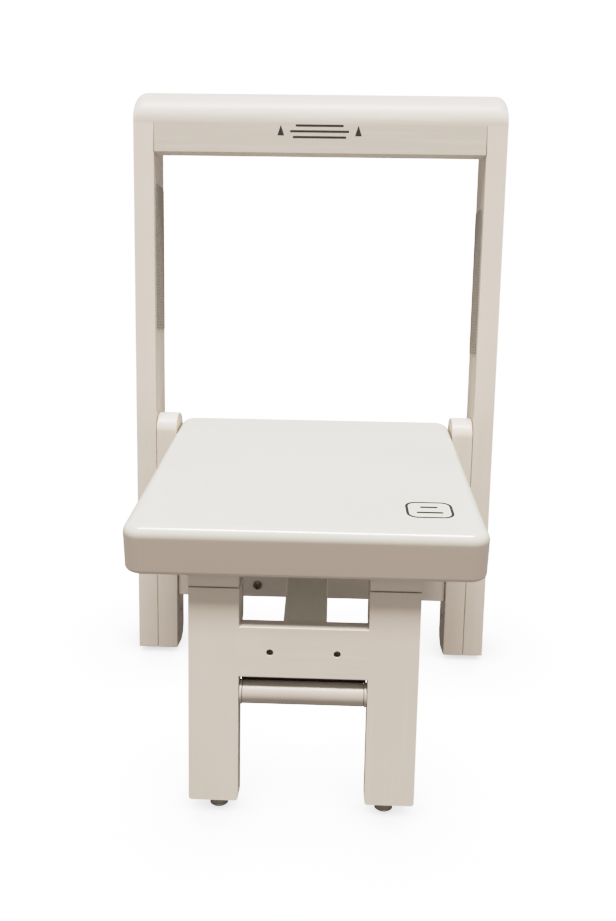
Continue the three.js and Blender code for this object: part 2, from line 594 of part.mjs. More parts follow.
function hingeCheek(side, place) {
  const cheekWidth = (LEG_WIDTH - LUG_WIDTH) / 2 - LUG_SIDE_GAP;
  const start = place === "inner" ? LEG_INNER_X : LEG_INNER_X + LEG_WIDTH - cheekWidth;
  const [x0, x1] = span(side, start, start + cheekWidth);
  const outline = roundedRectangle(
    LEG_REAR + JOINT_GAP, CHEEK_REAR, LEG_TOP_ABOVE_HINGE - CHEEK_HEIGHT, LEG_TOP_ABOVE_HINGE,
    [0, CHEEK_REAR - CHEEK_EASE, LEG_TOP_ABOVE_HINGE - CHEEK_EASE, 0],
  );
  return cut(alongX(outline, x0, x1), linkPinHole(0, 0));
}

function legPin(side) {
  const [x0, x1] = span(side, LEG_INNER_X + PIN_INSET, LEG_INNER_X + LEG_WIDTH - PIN_INSET);
  return rodX(x0, x1, LINK_PIN_RADIUS, 0, 0);
}

function crossRail() {
  const half = LEG_INNER_X - JOINT_GAP;
  const z0 = -CROSS_RAIL_CENTRE - CROSS_RAIL_HEIGHT / 2;
  const rail = box(-half, half, LEG_FRONT, LEG_REAR, z0, z0 + CROSS_RAIL_HEIGHT);
  const tools = [];
  for (const [, side] of SIDES) {
    const x = side * CROSS_SCREW_SPACING / 2;
    tools.push(rodY(
      LEG_FRONT - OVERRUN, LEG_REAR + OVERRUN, SCREW_SHANK_RADIUS + BOLT_CLEARANCE, x, -CROSS_RAIL_CENTRE,
    ));
    tools.push(rodY(
      LEG_FRONT - OVERRUN, LEG_FRONT + crossScrewSink(), CROSS_SCREW_HEAD_RADIUS + BOLT_CLEARANCE, x,
      -CROSS_RAIL_CENTRE,
    ));
  }
  return cut(rail, ...tools);
}

function crossScrewSink() {
  return CROSS_SCREW_RECESS + SCREW_HEAD_HEIGHT + JOINT_GAP;
}

function crossRailScrew(side) {
  const headFace = LEG_FRONT + CROSS_SCREW_RECESS + SCREW_HEAD_HEIGHT;
  const length = LEG_REAR + JOINT_GAP + CLEVIS_SCREW_BITE - headFace;
  return screwGeometry(CROSS_SCREW_HEAD_RADIUS, SCREW_HEAD_HEIGHT, length).translate(
    side * CROSS_SCREW_SPACING / 2, headFace, -CROSS_RAIL_CENTRE,
  );
}

function clevisEar(side) {
  const [x0, x1] = span(side, EAR_INNER_X, EAR_INNER_X + EAR_WIDTH);
  const face = LEG_REAR + JOINT_GAP;
  const pinHole = linkPinHole(0, -LINK_OFFSET);
  const screwHole = rodY(
    face - OVERRUN, face + CLEVIS_SCREW_BITE + JOINT_GAP, SCREW_SHANK_RADIUS + BOLT_CLEARANCE,
    side * CROSS_SCREW_SPACING / 2, -CROSS_RAIL_CENTRE,
  );
  return cut(earGeometry(x0, x1, face, 0, -LINK_OFFSET), pinHole, screwHole);
}

function rollerRod() {
  const reach = LEG_INNER_X + ROD_BITE;
  return rodX(-reach, reach, ROD_RADIUS, LEG_MIDDLE, -ROLLER_BELOW_HINGE);
}

function ring(x0, x1, radius, boreRadius) {
  const y = LEG_MIDDLE;
  const z = -ROLLER_BELOW_HINGE;
  return cut(rodX(x0, x1, radius, y, z), rodX(x0 - OVERRUN, x1 + OVERRUN, boreRadius, y, z));
}

function rollerCollar(side) {
  const outer = LEG_INNER_X - JOINT_GAP;
  const [x0, x1] = span(side, outer - COLLAR_WIDTH, outer);
  return ring(x0, x1, COLLAR_RADIUS, ROD_RADIUS + BOLT_CLEARANCE);
}

function rollerSleeve() {
  const half = LEG_INNER_X - COLLAR_WIDTH - 2 * JOINT_GAP;
  return ring(-half, half, ROLLER_RADIUS, ROLLER_BORE_RADIUS);
}

function glide(side) {
  const widest = Math.asin(GLIDE_RADIUS / GLIDE_DOME_RADIUS);
  const profile = [];
  for (let step = 0; step <= ROUND_STEPS; step += 1) {
    const angle = widest * step / ROUND_STEPS;
    const radius = step === 0 ? 0 : GLIDE_DOME_RADIUS * Math.sin(angle);
    profile.push(new THREE.Vector2(radius, DOME_CENTRE - GLIDE_DOME_RADIUS * Math.cos(angle)));
  }
  profile.push(new THREE.Vector2(GLIDE_RADIUS, GLIDE_TOP), new THREE.Vector2(0, GLIDE_TOP));
  const turned = new THREE.LatheGeometry(profile, 4 * ROUND_STEPS).rotateX(Math.PI / 2);
  return turned.translate(side * (LEG_CENTRE_X - GLIDE_INBOARD), LEG_MIDDLE, 0);
}

function legFrame() {
  const group = new THREE.Group();
  group.rotation.x = -LEAN;
  group.position.set(0, LEG_PIVOT.x, LEG_PIVOT.y);
  for (const [name, side] of SIDES) {
    group.add(named(`${name}_leg`, leg(side), painted));
    group.add(named(`${name}_hinge_cheek_outer`, hingeCheek(side, "outer"), painted));
    group.add(named(`${name}_hinge_cheek_inner`, hingeCheek(side, "inner"), painted));
    group.add(named(`${name}_leg_pin`, legPin(side), plainSteel));
    group.add(named(`${name}_clevis_ear`, clevisEar(side), painted));
    group.add(named(`${name}_cross_rail_screw`, crossRailScrew(side), darkScrew));
    group.add(named(`${name}_roller_collar`, rollerCollar(side), greyWhite));
    group.add(named(`${name}_floor_glide`, glide(side), darkNylon));
  }
  group.add(named("cross_rail", crossRail(), painted));
  group.add(named("roller_rod", rollerRod(), plainSteel));
  group.add(named("roller_sleeve", rollerSleeve(), greyWhite));
  const pinReach = EAR_INNER_X + EAR_WIDTH - JOINT_GAP;
  group.add(named("brace_front_pin", linkPin(pinReach, 0, -LINK_OFFSET), plainSteel));
  return group;
}

// Brace: drawn along -Y from its rear pivot at y = 0, z = 0 ------------------------------------------

function braceBar() {
  const length = Math.hypot(LINK_FORWARD, LINK_DROP);
  const end = BRACE_THICKNESS / 2;
  const half = BRACE_WIDTH / 2;
  const outline = roundedRectangle(-length - end, end, -end, end, [end, end, end, end]);
  const rearHole = linkPinHole(0, 0);
  const frontHole = rodX(-BRACE_WIDTH, BRACE_WIDTH, LINK_PIN_RADIUS + OPEN_PIVOT_CLEARANCE, -length, 0);
  return cut(alongX(outline, -half, half), rearHole, frontHole);
}

function brace() {
  const group = new THREE.Group();
  const pivot = leaning(SEAT_PIVOT_INSET, BRACE_PIVOT_RISE);
  group.rotation.x = Math.atan2(LINK_DROP, LINK_FORWARD);
  group.position.set(0, pivot.x, pivot.y);
  group.add(named("brace_bar", braceBar(), greyWhite));
  return group;
}

// The whole stool, standing on z = 0 with its box centred on the origin ------------------------------

const stool = new THREE.Group();
stool.add(backFrame(), seat(), legFrame(), brace());
stool.updateMatrixWorld(true);
const extent = new THREE.Box3().setFromObject(stool, true);
stool.position.set(0, -(extent.min.y + extent.max.y) / 2, -extent.min.z);
stool.updateMatrixWorld(true);

export default stool;
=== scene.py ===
"""Looks of the folding children's step seat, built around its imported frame. Metres, +Z up."""

import math

import bmesh
import bpy
from mathutils import Matrix, Vector


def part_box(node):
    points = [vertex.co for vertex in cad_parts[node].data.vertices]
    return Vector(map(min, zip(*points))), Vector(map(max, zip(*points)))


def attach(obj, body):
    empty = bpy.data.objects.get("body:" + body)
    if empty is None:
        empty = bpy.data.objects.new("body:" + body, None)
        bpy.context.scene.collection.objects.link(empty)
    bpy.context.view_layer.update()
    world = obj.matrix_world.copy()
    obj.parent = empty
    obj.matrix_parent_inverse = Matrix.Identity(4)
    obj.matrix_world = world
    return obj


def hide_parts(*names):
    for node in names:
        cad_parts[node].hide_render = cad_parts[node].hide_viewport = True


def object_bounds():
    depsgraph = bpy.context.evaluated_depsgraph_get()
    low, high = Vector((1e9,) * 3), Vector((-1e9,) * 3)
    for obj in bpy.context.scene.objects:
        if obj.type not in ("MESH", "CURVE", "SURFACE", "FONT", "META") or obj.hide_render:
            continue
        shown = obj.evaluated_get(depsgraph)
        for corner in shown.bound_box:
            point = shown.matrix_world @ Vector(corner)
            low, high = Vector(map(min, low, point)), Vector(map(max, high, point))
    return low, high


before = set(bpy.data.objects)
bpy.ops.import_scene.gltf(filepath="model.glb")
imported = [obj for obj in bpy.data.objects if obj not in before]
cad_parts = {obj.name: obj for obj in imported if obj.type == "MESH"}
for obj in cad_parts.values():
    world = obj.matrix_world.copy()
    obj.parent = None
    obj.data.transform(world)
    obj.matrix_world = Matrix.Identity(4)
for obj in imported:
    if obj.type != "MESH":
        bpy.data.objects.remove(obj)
cad_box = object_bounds()

MM = 0.001
SIDES = {"left": -1, "right": 1}
X, Y, Z = 0, 1, 2

# Sizes that the frame's boxes don't give -----------------------------------------------------------

ARC_STEPS = 14                      # straight steps in a quarter turn
ROUND_STEPS = 72                    # straight steps round a turned piece
CREASE = math.radians(38)           # an edge that turns by more than this stays a crease
BOARD_EDGE = 0.8 * MM               # eased edges of the lacquered boards
SMALL_EDGE = 0.6 * MM               # eased edges of the small wooden blocks
EASE_STEPS = 4
FEW_STEPS = 4                       # straight steps in a quarter turn of a tiny corner
ON_THE_SPOT = 0.05 * MM

FOOT_RADIUS = 22 * MM
BLOCK_RADIUS = 20 * MM
LEDGE_END_RADIUS = 11 * MM
LEDGE_REAR_RADIUS = 6 * MM
LEG_FOOT_RADIUS = 3 * MM
CHEEK_TOP_RADIUS = 7.3 * MM
CHEEK_FOOT_RADIUS = 10 * MM

SEAT_CORNER_RADIUS = 17 * MM
SEAT_CORNER_STEPS = 16
SEAT_TOP_RADIUS = 10 * MM
SEAT_BOTTOM_RADIUS = 4 * MM
SEAT_BOTTOM_STEPS = 6
SEAT_WALL = 5 * MM
SEAT_SKIN = 6 * MM
INNER_CORNER = 1.5 * MM             # inner corners of the shell's rim
RIM_BEVEL_HEIGHT = 0.5 * MM
RIM_BEVEL_WIDTH = 0.4 * MM
NOTCH_CLEARANCE = 3 * MM            # beside the brace, in the shell's rear wall
NOTCH_RADIUS = 4 * MM
BAR_RISE = 2 * MM                   # of the bars inside the shell, above its rim
RIB_WIDTH = 1.8 * MM
RIB_HEIGHT = 4.5 * MM
RIB_COUNT = 7
RIB_GAP = 1.2 * MM                  # between a rib's end and the bar beside it

JOINT_GAP = 0.3 * MM                # that the frame keeps between touching pieces
EPSILON = 0.02 * MM                 # by which two places may differ and still be the same
HOLE_CLEARANCE = 0.1 * MM
SCREW_HEAD_HEIGHT = 2.6 * MM
SHANK_RADIUS = 2 * MM
SCREW_RIM = 0.25                    # height of the head's straight rim, as a share of the head's
SCREW_TIP = 0.4                     # radius of the screw's end, as a share of the shank's
SCREW_CHAMFER = 0.2 * MM
CROSS_ARM = 0.56                    # shares of the head's radius
CROSS_HALF_WIDTH = 0.15
CROSS_TAPER = 0.55
RECESS_FLOOR = 0.3                  # share of the head's height that a recess leaves
SOCKET_SHARE = 0.55
BOLT_CHAMFER = 0.6 * MM
RAIL_SCREW_STOP = 3 * MM            # of the rear rail's screw hole, from the rail's far face
BOLT_RADIUS = 4 * MM
BOLT_HEAD_HEIGHT = 3 * MM
CROSS_SCREW_SINK = 5.9 * MM
BLOCK_SCREW_SINK = 4 * MM
BOLT_SINK = 5 * MM
OPEN_PIVOT_CLEARANCE = 0.6 * MM     # round the front pin, on the radius
ROLLER_BORE = 5.4 * MM
ROD_BITE = 12 * MM
PIN_CHAMFER = 0.5 * MM
TUBE_EDGE = 0.6 * MM
BRACE_EDGE = 2 * MM
STICKER_CORNER = 3 * MM
GLIDE_DOME = 12 * MM
GLIDE_GROOVE = 0.5 * MM
SHADE_STRIP_BEHIND = 8 * MM                 # of the painted-shade strip behind the roller, from the roller's middle
SHADE_STRIP_THICKNESS = 2 * MM
SHADE_STRIP_FOOT = 7.2 * MM                 # of the strip above the roller's middle
SHADE_STRIP_END_GAP = 0.5 * MM
CARRIER_SETBACK = 0.8 * MM          # of the hinge carrier behind the leg's face
CARRIER_DEPTH = 13 * MM


# Axes ----------------------------------------------------------------------------------------------

def middle(node):
    low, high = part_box(node)
    return (low + high) / 2


def lean_angle():
    rise = middle("left_seat_pivot_bolt") - middle("brace_rear_pin")
    return math.atan2(rise.y, rise.z)


def brace_angle():
    run = middle("brace_rear_pin") - middle("brace_front_pin")
    return math.atan2(run.z, run.y)


LEVEL = Matrix.Identity(4)
LEANING = Matrix.Rotation(-lean_angle(), 4, "X")
ALONG_BRACE = Matrix.Rotation(brace_angle(), 4, "X")


def box_along(axes, node):
    """Lowest and highest corner of a CAD node, measured along turned axes."""
    back = axes.inverted()
    points = [back @ vertex.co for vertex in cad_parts[node].data.vertices]
    low = Vector([min(point[k] for point in points) for k in range(3)])
    high = Vector([max(point[k] for point in points) for k in range(3)])
    return low, high


def centre_along(axes, node):
    low, high = box_along(axes, node)
    return (low + high) / 2


# Shapes --------------------------------------------------------------------------------------------

def loft(rings, closed=False):
    """Faces between rings of equally many points, with a flat face on the first and last ring."""
    shape = bmesh.new()
    loops = [[shape.verts.new(point) for point in ring] for ring in rings]
    following = loops[1:] + (loops[:1] if closed else [])
    for loop, after in zip(loops, following):
        for i, vertex in enumerate(loop):
            j = (i + 1) % len(loop)
            shape.faces.new((vertex, loop[j], after[j], after[i]))
    if not closed:
        shape.faces.new(loops[0])
        shape.faces.new(loops[-1])
    bmesh.ops.remove_doubles(shape, verts=shape.verts, dist=1e-6)
    bmesh.ops.dissolve_degenerate(shape, edges=shape.edges, dist=1e-7)
    bmesh.ops.recalc_face_normals(shape, faces=shape.faces)
    return shape


def rounded(low, high, radii, steps=ARC_STEPS):
    """A rectangle's outline. The radii run anticlockwise from the lowest corner."""
    corners = [
        (low[0], low[1], 1, 1), (high[0], low[1], -1, 1),
        (high[0], high[1], -1, -1), (low[0], high[1], 1, -1),
    ]
    outline = []
    for quarter, ((u, v, inward_u, inward_v), radius) in enumerate(zip(corners, radii)):
        for step in range(steps + 1 if radius else 1):
            angle = (quarter + 2 + step / steps) * math.pi / 2
            outline.append((
                u + radius * (inward_u + math.cos(angle)),
                v + radius * (inward_v + math.sin(angle)),
            ))
    return outline


def circle(u, v, radius, steps=ROUND_STEPS // 2):
    turns = [2 * math.pi * step / steps for step in range(steps)]
    return [(u + radius * math.cos(turn), v + radius * math.sin(turn)) for turn in turns]


def placed(axis, along, pair):
    """A point from its place along one axis and its places on the other two, in order."""
    point = [pair[0], pair[1]]
    point.insert(axis, along)
    return point


def prism(outline, axis, start, stop):
    return loft([[placed(axis, along, pair) for pair in outline] for along in (start, stop)])


def block(low, high):
    return prism(rounded(low.xy, high.xy, [0, 0, 0, 0]), Z, low.z, high.z)


def turned(profile, closed=False):
    """A profile of (radius, height) points, turned round Z."""
    turns = [2 * math.pi * step / ROUND_STEPS for step in range(ROUND_STEPS)]
    return loft([
        [(radius * math.cos(turn), radius * math.sin(turn), height) for turn in turns]
        for radius, height in profile
    ], closed)


def ease(shape, width, square):
    """Rounds the creases, except those whose middle is where square says that a flush joint is."""
    chosen = []
    for edge in shape.edges:
        centre = (edge.verts[0].co + edge.verts[1].co) / 2
        if edge.is_manifold and edge.calc_face_angle() > CREASE and not (square and square(centre)):
            chosen.append(edge)
    bmesh.ops.bevel(
        shape, geom=chosen, offset=width, offset_type="OFFSET", segments=EASE_STEPS, profile=0.5,
        affect="EDGES", clamp_overlap=True, loop_slide=True)


def as_object(name, shape, axes):
    mesh = bpy.data.meshes.new(name)
    shape.to_mesh(mesh)
    shape.free()
    made = bpy.data.objects.new(name, mesh)
    bpy.context.scene.collection.objects.link(made)
    made.matrix_world = axes
    return made


def settle(piece):
    """Turns the modifiers into mesh, then smooths all but the creases."""
    bpy.context.view_layer.update()
    graph = bpy.context.evaluated_depsgraph_get()
    mesh = bpy.data.meshes.new_from_object(piece.evaluated_get(graph))
    piece.modifiers.clear()
    piece.data = mesh
    shape = bmesh.new()
    shape.from_mesh(mesh)
    for face in shape.faces:
        face.smooth = True
    for edge in shape.edges:
        edge.smooth = edge.calc_face_angle(math.pi) < CREASE
    shape.to_mesh(mesh)
    shape.free()
    normals = piece.modifiers.new("normals", "WEIGHTED_NORMAL")
    normals.keep_sharp = True


def make(name, shape, axes, body, finish, replaced=(), edge=0, cutters=(), square=None):
    """A piece of the object from its shape, with eased edges and holes, riding on its body."""
    if edge:
        ease(shape, edge, square)
    piece = as_object(name, shape, axes)
    tools = [as_object("cutter", cutter, axes) for cutter in cutters]
    for tool in tools:
        cut = piece.modifiers.new("cut", "BOOLEAN")
        cut.operation = "DIFFERENCE"
        cut.solver = "EXACT"
        cut.object = tool
    settle(piece)
    for tool in tools:
        bpy.data.objects.remove(tool)
    slot, material = finish
    piece.data.materials.clear()
    piece.data.materials.append(material)
    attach(piece, body)
    if replaced:
        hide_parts(*replaced)
    return piece


# Node helpers --------------------------------------------------------------------------------------

def add(tree, kind, values=None, **settings):
    """A shader node. A value is a number, or another node's output to link."""
    made = tree.nodes.new("ShaderNode" + kind)
    for key, setting in settings.items():
        setattr(made, key, setting)
    for key, value in (values or {}).items():
        if isinstance(value, bpy.types.NodeSocket):
            tree.links.new(value, made.inputs[key])
        else:
            made.inputs[key].default_value = value
    return made


def noise(tree, scale, stretch=(1, 1, 1), detail=3.0):
    place = add(tree, "TexCoord").outputs["Object"]
    stretched = add(tree, "Mapping", {"Vector": place, "Scale": stretch}).outputs["Vector"]
    values = {"Vector": stretched, "Scale": scale, "Detail": detail}
    return add(tree, "TexNoise", values).outputs["Fac"]


def between(tree, value, low, high, new_low, new_high):
    values = {"Value": value, "From Min": low, "From Max": high, "To Min": new_low, "To Max": new_high}
    return add(tree, "MapRange", values).outputs["Result"]


def blended(tree, share, first, second):
    """first where share is 0, second where it is 1. Each is a colour or another node's output."""
    share_input, first_input, second_input, colour_output = 0, 6, 7, 2
    values = {share_input: share, first_input: first, second_input: second}
    return add(tree, "Mix", values, data_type="RGBA").outputs[colour_output]


def bump(tree, height, distance, before=None):
    values = {"Height": height, "Distance": distance, "Strength": 1.0}
    if before:
        values["Normal"] = before
    return add(tree, "Bump", values).outputs["Normal"]


def grey(value):
    return (value, value, value, 1)


def tinted(red, green, blue):
    return (red, green, blue, 1)


def material(name, base, roughness, normal, metallic=0.0, **constants):
    """A Principled material. base, roughness and normal are functions that build nodes in the tree."""
    made = bpy.data.materials.new(name)
    made.use_nodes = True
    tree = made.node_tree
    shader = tree.nodes["Principled BSDF"]
    shader.inputs["Metallic"].default_value = metallic
    for key, value in constants.items():
        shader.inputs[key.replace("_", " ").title().replace("Ior", "IOR")].default_value = value
    tree.links.new(base(tree), shader.inputs["Base Color"])
    tree.links.new(roughness(tree), shader.inputs["Roughness"])
    tree.links.new(normal(tree), shader.inputs["Normal"])
    return made


# Materials -----------------------------------------------------------------------------------------

LACQUER = tinted(0.775, 0.695, 0.635)
LACQUER_WARM = tinted(0.755, 0.67, 0.60)
# Painted shade: the colour that darkens the ledge and its apron
LACQUER_SHADED = tinted(0.60, 0.545, 0.49)
LACQUER_PALE = tinted(0.80, 0.735, 0.69)
# Colour of the dirt specks, and of the painted shade in seams and inner corners
SPECKS_AND_CREASE_SHADE = tinted(0.50, 0.42, 0.34)
SEAT_WHITE = tinted(0.70, 0.69, 0.63)
SEAT_CLOUD = tinted(0.66, 0.655, 0.59)
# Painted shade: the colour of the seat's sides, darker and warmer than its top
SEAT_SIDE_SHADE = tinted(0.67, 0.588, 0.535)
ROLLER_WHITE = tinted(0.56, 0.50, 0.455)
ROLLER_SHADE = tinted(0.52, 0.465, 0.42)
BRACE_WHITE = tinted(0.95, 0.95, 0.87)
BRACE_SHADE = tinted(0.90, 0.91, 0.82)
# Painted shade: the near-black strip behind the gap above the roller
GAP_SHADE_DARK = tinted(0.05, 0.035, 0.025)
GAP_SHADE_PALE = tinted(0.075, 0.055, 0.04)
NYLON_GREY = tinted(0.20, 0.19, 0.175)
NYLON_GREY_PALE = tinted(0.27, 0.255, 0.235)
SCREW_BROWN = tinted(0.099, 0.07, 0.053)
SCREW_WORN = tinted(0.44, 0.33, 0.242)
STEEL = grey(0.50)
STEEL_WORN = grey(0.66)
STICKER_PAPER = tinted(0.44, 0.41, 0.36)
STICKER_FLECK = tinted(0.10, 0.09, 0.08)
STICKER_ORANGE = tinted(0.50, 0.20, 0.10)
INK_BLACK = grey(0.018)
INK_THIN = grey(0.07)

EVEN = (1, 1, 1)
SOFT = (0.35, 0.65)                 # parts of a noise's range that are spread over a material's range
FIRM = (0.3, 0.7)


def creases(tree, reach, low, high):
    """Painted shade mask from ambient occlusion: 1 in the open and 0 deep in a seam or inner corner."""
    shade = add(tree, "AmbientOcclusion", {"Distance": reach}, samples=8).outputs["AO"]
    return between(tree, shade, low, high, 0, 1)


def lacquer(name, along, painted_shade=0):
    """Satin lacquer on wood. The boards' figure runs along one axis. Seams and inner corners get painted
    shade, and the third argument darkens the whole finish with painted shade.
    """
    figure = [1.0, 1.0, 1.0]
    figure[along] = 0.04

    def base(tree):
        clouds = between(tree, noise(tree, 9, detail=2), *SOFT, 0, 1)
        colour = blended(tree, clouds, LACQUER, LACQUER_WARM)
        # Painted shade: darkens the whole finish by the given share.
        colour = blended(tree, painted_shade, colour, LACQUER_SHADED)
        streaks = between(tree, noise(tree, 220, figure, detail=4), 0.5, 0.75, 0, 0.35)
        colour = blended(tree, streaks, colour, LACQUER_PALE)
        each = add(tree, "ObjectInfo").outputs["Random"]
        colour = blended(tree, between(tree, each, 0, 1, 0, 0.2), colour, LACQUER_PALE)
        specks = between(tree, noise(tree, 700, detail=1), 0.74, 0.78, 0, 0.35)
        colour = blended(tree, specks, colour, SPECKS_AND_CREASE_SHADE)
        # Painted shade: seams and inner corners are darkened by an occlusion mask.
        unshaded_share = creases(tree, 5 * MM, 0.25, 0.7)
        return blended(tree, unshaded_share, blended(tree, 0.55, colour, SPECKS_AND_CREASE_SHADE), colour)

    def roughness(tree):
        return between(tree, noise(tree, 45, figure, detail=4), *FIRM, 0.36, 0.50)

    def normal(tree):
        brushed = bump(tree, noise(tree, 260, figure, detail=3), 0.06 * MM)
        peel = bump(tree, noise(tree, 650, detail=1), 0.035 * MM, brushed)
        return bump(tree, noise(tree, 14, detail=1), 0.35 * MM, peel)

    return material(name, base, roughness, normal, coat_weight=0.12, coat_roughness=0.22)


def seat_plastic(top):
    """Glossy moulded plastic, with painted shade: the sides are darker and a little warmer than the top."""
    def base(tree):
        clouds = between(tree, noise(tree, 5, (1, 1.8, 1), detail=2), *SOFT, 0, 1)
        colour = blended(tree, clouds, SEAT_WHITE, SEAT_CLOUD)
        # Painted shade: below the top's rounding the sides take the darker, warmer side colour.
        place = add(tree, "TexCoord").outputs["Object"]
        height = add(tree, "SeparateXYZ", {"Vector": place}).outputs["Z"]
        upper = between(tree, height, top - 1.3 * SEAT_TOP_RADIUS, top - 0.3 * SEAT_TOP_RADIUS, 0, 1)
        colour = blended(tree, upper, SEAT_SIDE_SHADE, colour)
        specks = between(tree, noise(tree, 520, detail=1), 0.76, 0.80, 0, 0.3)
        colour = blended(tree, specks, colour, SPECKS_AND_CREASE_SHADE)
        # Painted shade: seams and inner corners are darkened by an occlusion mask.
        unshaded_share = creases(tree, 4 * MM, 0.2, 0.6)
        return blended(tree, unshaded_share, blended(tree, 0.4, colour, SPECKS_AND_CREASE_SHADE), colour)

    def roughness(tree):
        return between(tree, noise(tree, 12, (1, 2, 1), detail=3), *FIRM, 0.20, 0.27)

    def normal(tree):
        moulded = bump(tree, noise(tree, 700, detail=1), 0.006 * MM)
        return bump(tree, noise(tree, 6, detail=0), 0.3 * MM, moulded)

    return material("seat_plastic", base, roughness, normal, coat_weight=0.2, coat_roughness=0.16)


def extruded_plastic(name, light, shade, along):
    """Smooth extruded plastic with faint lines along its length, and painted shade in its seams and inner
    corners.
    """
    lines_run = [1.0, 1.0, 1.0]
    lines_run[along] = 0.03

    def base(tree):
        clouds = between(tree, noise(tree, 16, detail=3), *SOFT, 0, 1)
        colour = blended(tree, clouds, light, shade)
        # Painted shade: seams and inner corners are darkened by an occlusion mask.
        unshaded_share = creases(tree, 4 * MM, 0.2, 0.7)
        return blended(tree, unshaded_share, blended(tree, 0.5, colour, SPECKS_AND_CREASE_SHADE), colour)

    def roughness(tree):
        return between(tree, noise(tree, 60, detail=4), *FIRM, 0.30, 0.44)

    def normal(tree):
        lines = bump(tree, noise(tree, 500, lines_run, detail=2), 0.02 * MM)
        return bump(tree, noise(tree, 800, detail=1), 0.015 * MM, lines)

    return material(name, base, roughness, normal)


def metal(name, dark, bright, rough, scale, stretch):
    """Bare steel, worn in patches. rough is its lowest and highest roughness."""
    def base(tree):
        worn = between(tree, noise(tree, scale / 3, detail=4), 0.42, 0.68, 0, 1)
        return blended(tree, worn, dark, bright)

    def roughness(tree):
        return between(tree, noise(tree, scale, stretch, detail=3), *FIRM, *rough)

    def normal(tree):
        return bump(tree, noise(tree, scale, stretch, detail=2), 0.02 * MM)

    return material(name, base, roughness, normal, metallic=1.0)


def matt_plastic(name, dark, light):
    def base(tree):
        clouds = between(tree, noise(tree, 180, detail=4), *SOFT, 0, 1)
        return blended(tree, clouds, dark, light)

    def roughness(tree):
        return between(tree, noise(tree, 300, detail=3), *FIRM, 0.42, 0.62)

    def normal(tree):
        return bump(tree, noise(tree, 900, detail=2), 0.05 * MM)

    return material(name, base, roughness, normal)


def sticker_vinyl(rear_edge):
    """Grey vinyl with rows of fine flecks and an orange band along its rear edge."""
    band, band_blur, row = 8 * MM, 0.4 * MM, 3.2 * MM

    def base(tree):
        flecks = between(tree, noise(tree, 900, (1, 1, 0.6), detail=1), 0.50, 0.60, 0, 0.75)
        place = add(tree, "TexCoord").outputs["Object"]
        split = add(tree, "SeparateXYZ", {"Vector": place})
        waves = {0: split.outputs["Z"], 1: 2 * math.pi / row}
        phase = add(tree, "Math", waves, operation="MULTIPLY").outputs[0]
        rows = between(tree, add(tree, "Math", {0: phase}, operation="SINE").outputs[0], -0.3, 0.3, 0, 1)
        printed = add(tree, "Math", {0: flecks, 1: rows}, operation="MULTIPLY").outputs[0]
        colour = blended(tree, printed, STICKER_PAPER, STICKER_FLECK)
        start = rear_edge - band
        edge = between(tree, split.outputs["Y"], start, start + band_blur, 0, 0.85)
        return blended(tree, edge, colour, STICKER_ORANGE)

    def roughness(tree):
        return between(tree, noise(tree, 120, detail=3), *FIRM, 0.32, 0.48)

    def normal(tree):
        return bump(tree, noise(tree, 60, detail=3), 0.12 * MM)

    return material("sticker_vinyl", base, roughness, normal)


def ink():
    def base(tree):
        thin = between(tree, noise(tree, 900, detail=2), 0.5, 0.7, 0, 0.5)
        return blended(tree, thin, INK_BLACK, INK_THIN)

    def roughness(tree):
        return between(tree, noise(tree, 400, detail=2), *FIRM, 0.40, 0.55)

    def normal(tree):
        return bump(tree, noise(tree, 1200, detail=1), 0.01 * MM)

    return material("ink", base, roughness, normal)


WOOD_UP = ("white_lacquer", lacquer("lacquer_along_z", Z))
WOOD_ACROSS = ("white_lacquer", lacquer("lacquer_along_x", X))
# Painted shade: the ledge and its apron are darkened.
WOOD_LEDGE = ("white_lacquer", lacquer("lacquer_ledge", X, painted_shade=0.85))
WOOD_DEEP = ("white_lacquer", lacquer("lacquer_along_y", Y))
SEAT_FINISH = ("seat_plastic", seat_plastic(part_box("seat_shell")[1].z))
ROLLER_FINISH = ("grey_white_plastic", extruded_plastic("roller_plastic", ROLLER_WHITE, ROLLER_SHADE, Z))
GAP_SHADE_FINISH = ("glide_nylon", matt_plastic("roller_lip", GAP_SHADE_DARK, GAP_SHADE_PALE))
BRACE_FINISH = ("grey_white_plastic", extruded_plastic("brace_plastic", BRACE_WHITE, BRACE_SHADE, Y))
DARK_STEEL = ("dark_steel", metal("dark_steel", SCREW_BROWN, SCREW_WORN, (0.28, 0.46), 900, EVEN))
BRIGHT_STEEL = ("bright_steel", metal("bright_steel", STEEL, STEEL_WORN, (0.20, 0.42), 1400, (1, 1, 0.05)))
NYLON = ("glide_nylon", matt_plastic("nylon", NYLON_GREY, NYLON_GREY_PALE))
STICKER = ("sticker_vinyl", sticker_vinyl(box_along(LEANING, "left_sticker")[1].y))
SEAT_INK = ("seat_plastic", ink())
FRAME_INK = ("white_lacquer", SEAT_INK[1])


# Parts shared by several bodies --------------------------------------------------------------------

def board(node, body, finish, axes=LEANING, edge=BOARD_EDGE, cutters=(), square=None, grow=(0, 0, 0)):
    """A board whose section is a plain rectangle with eased edges. grow closes the gap at a flush joint."""
    low, high = box_along(axes, node)
    shape = block(low - Vector(grow), high + Vector(grow))
    return make(node + "_fine", shape, axes, body, finish, [node], edge, cutters, square)


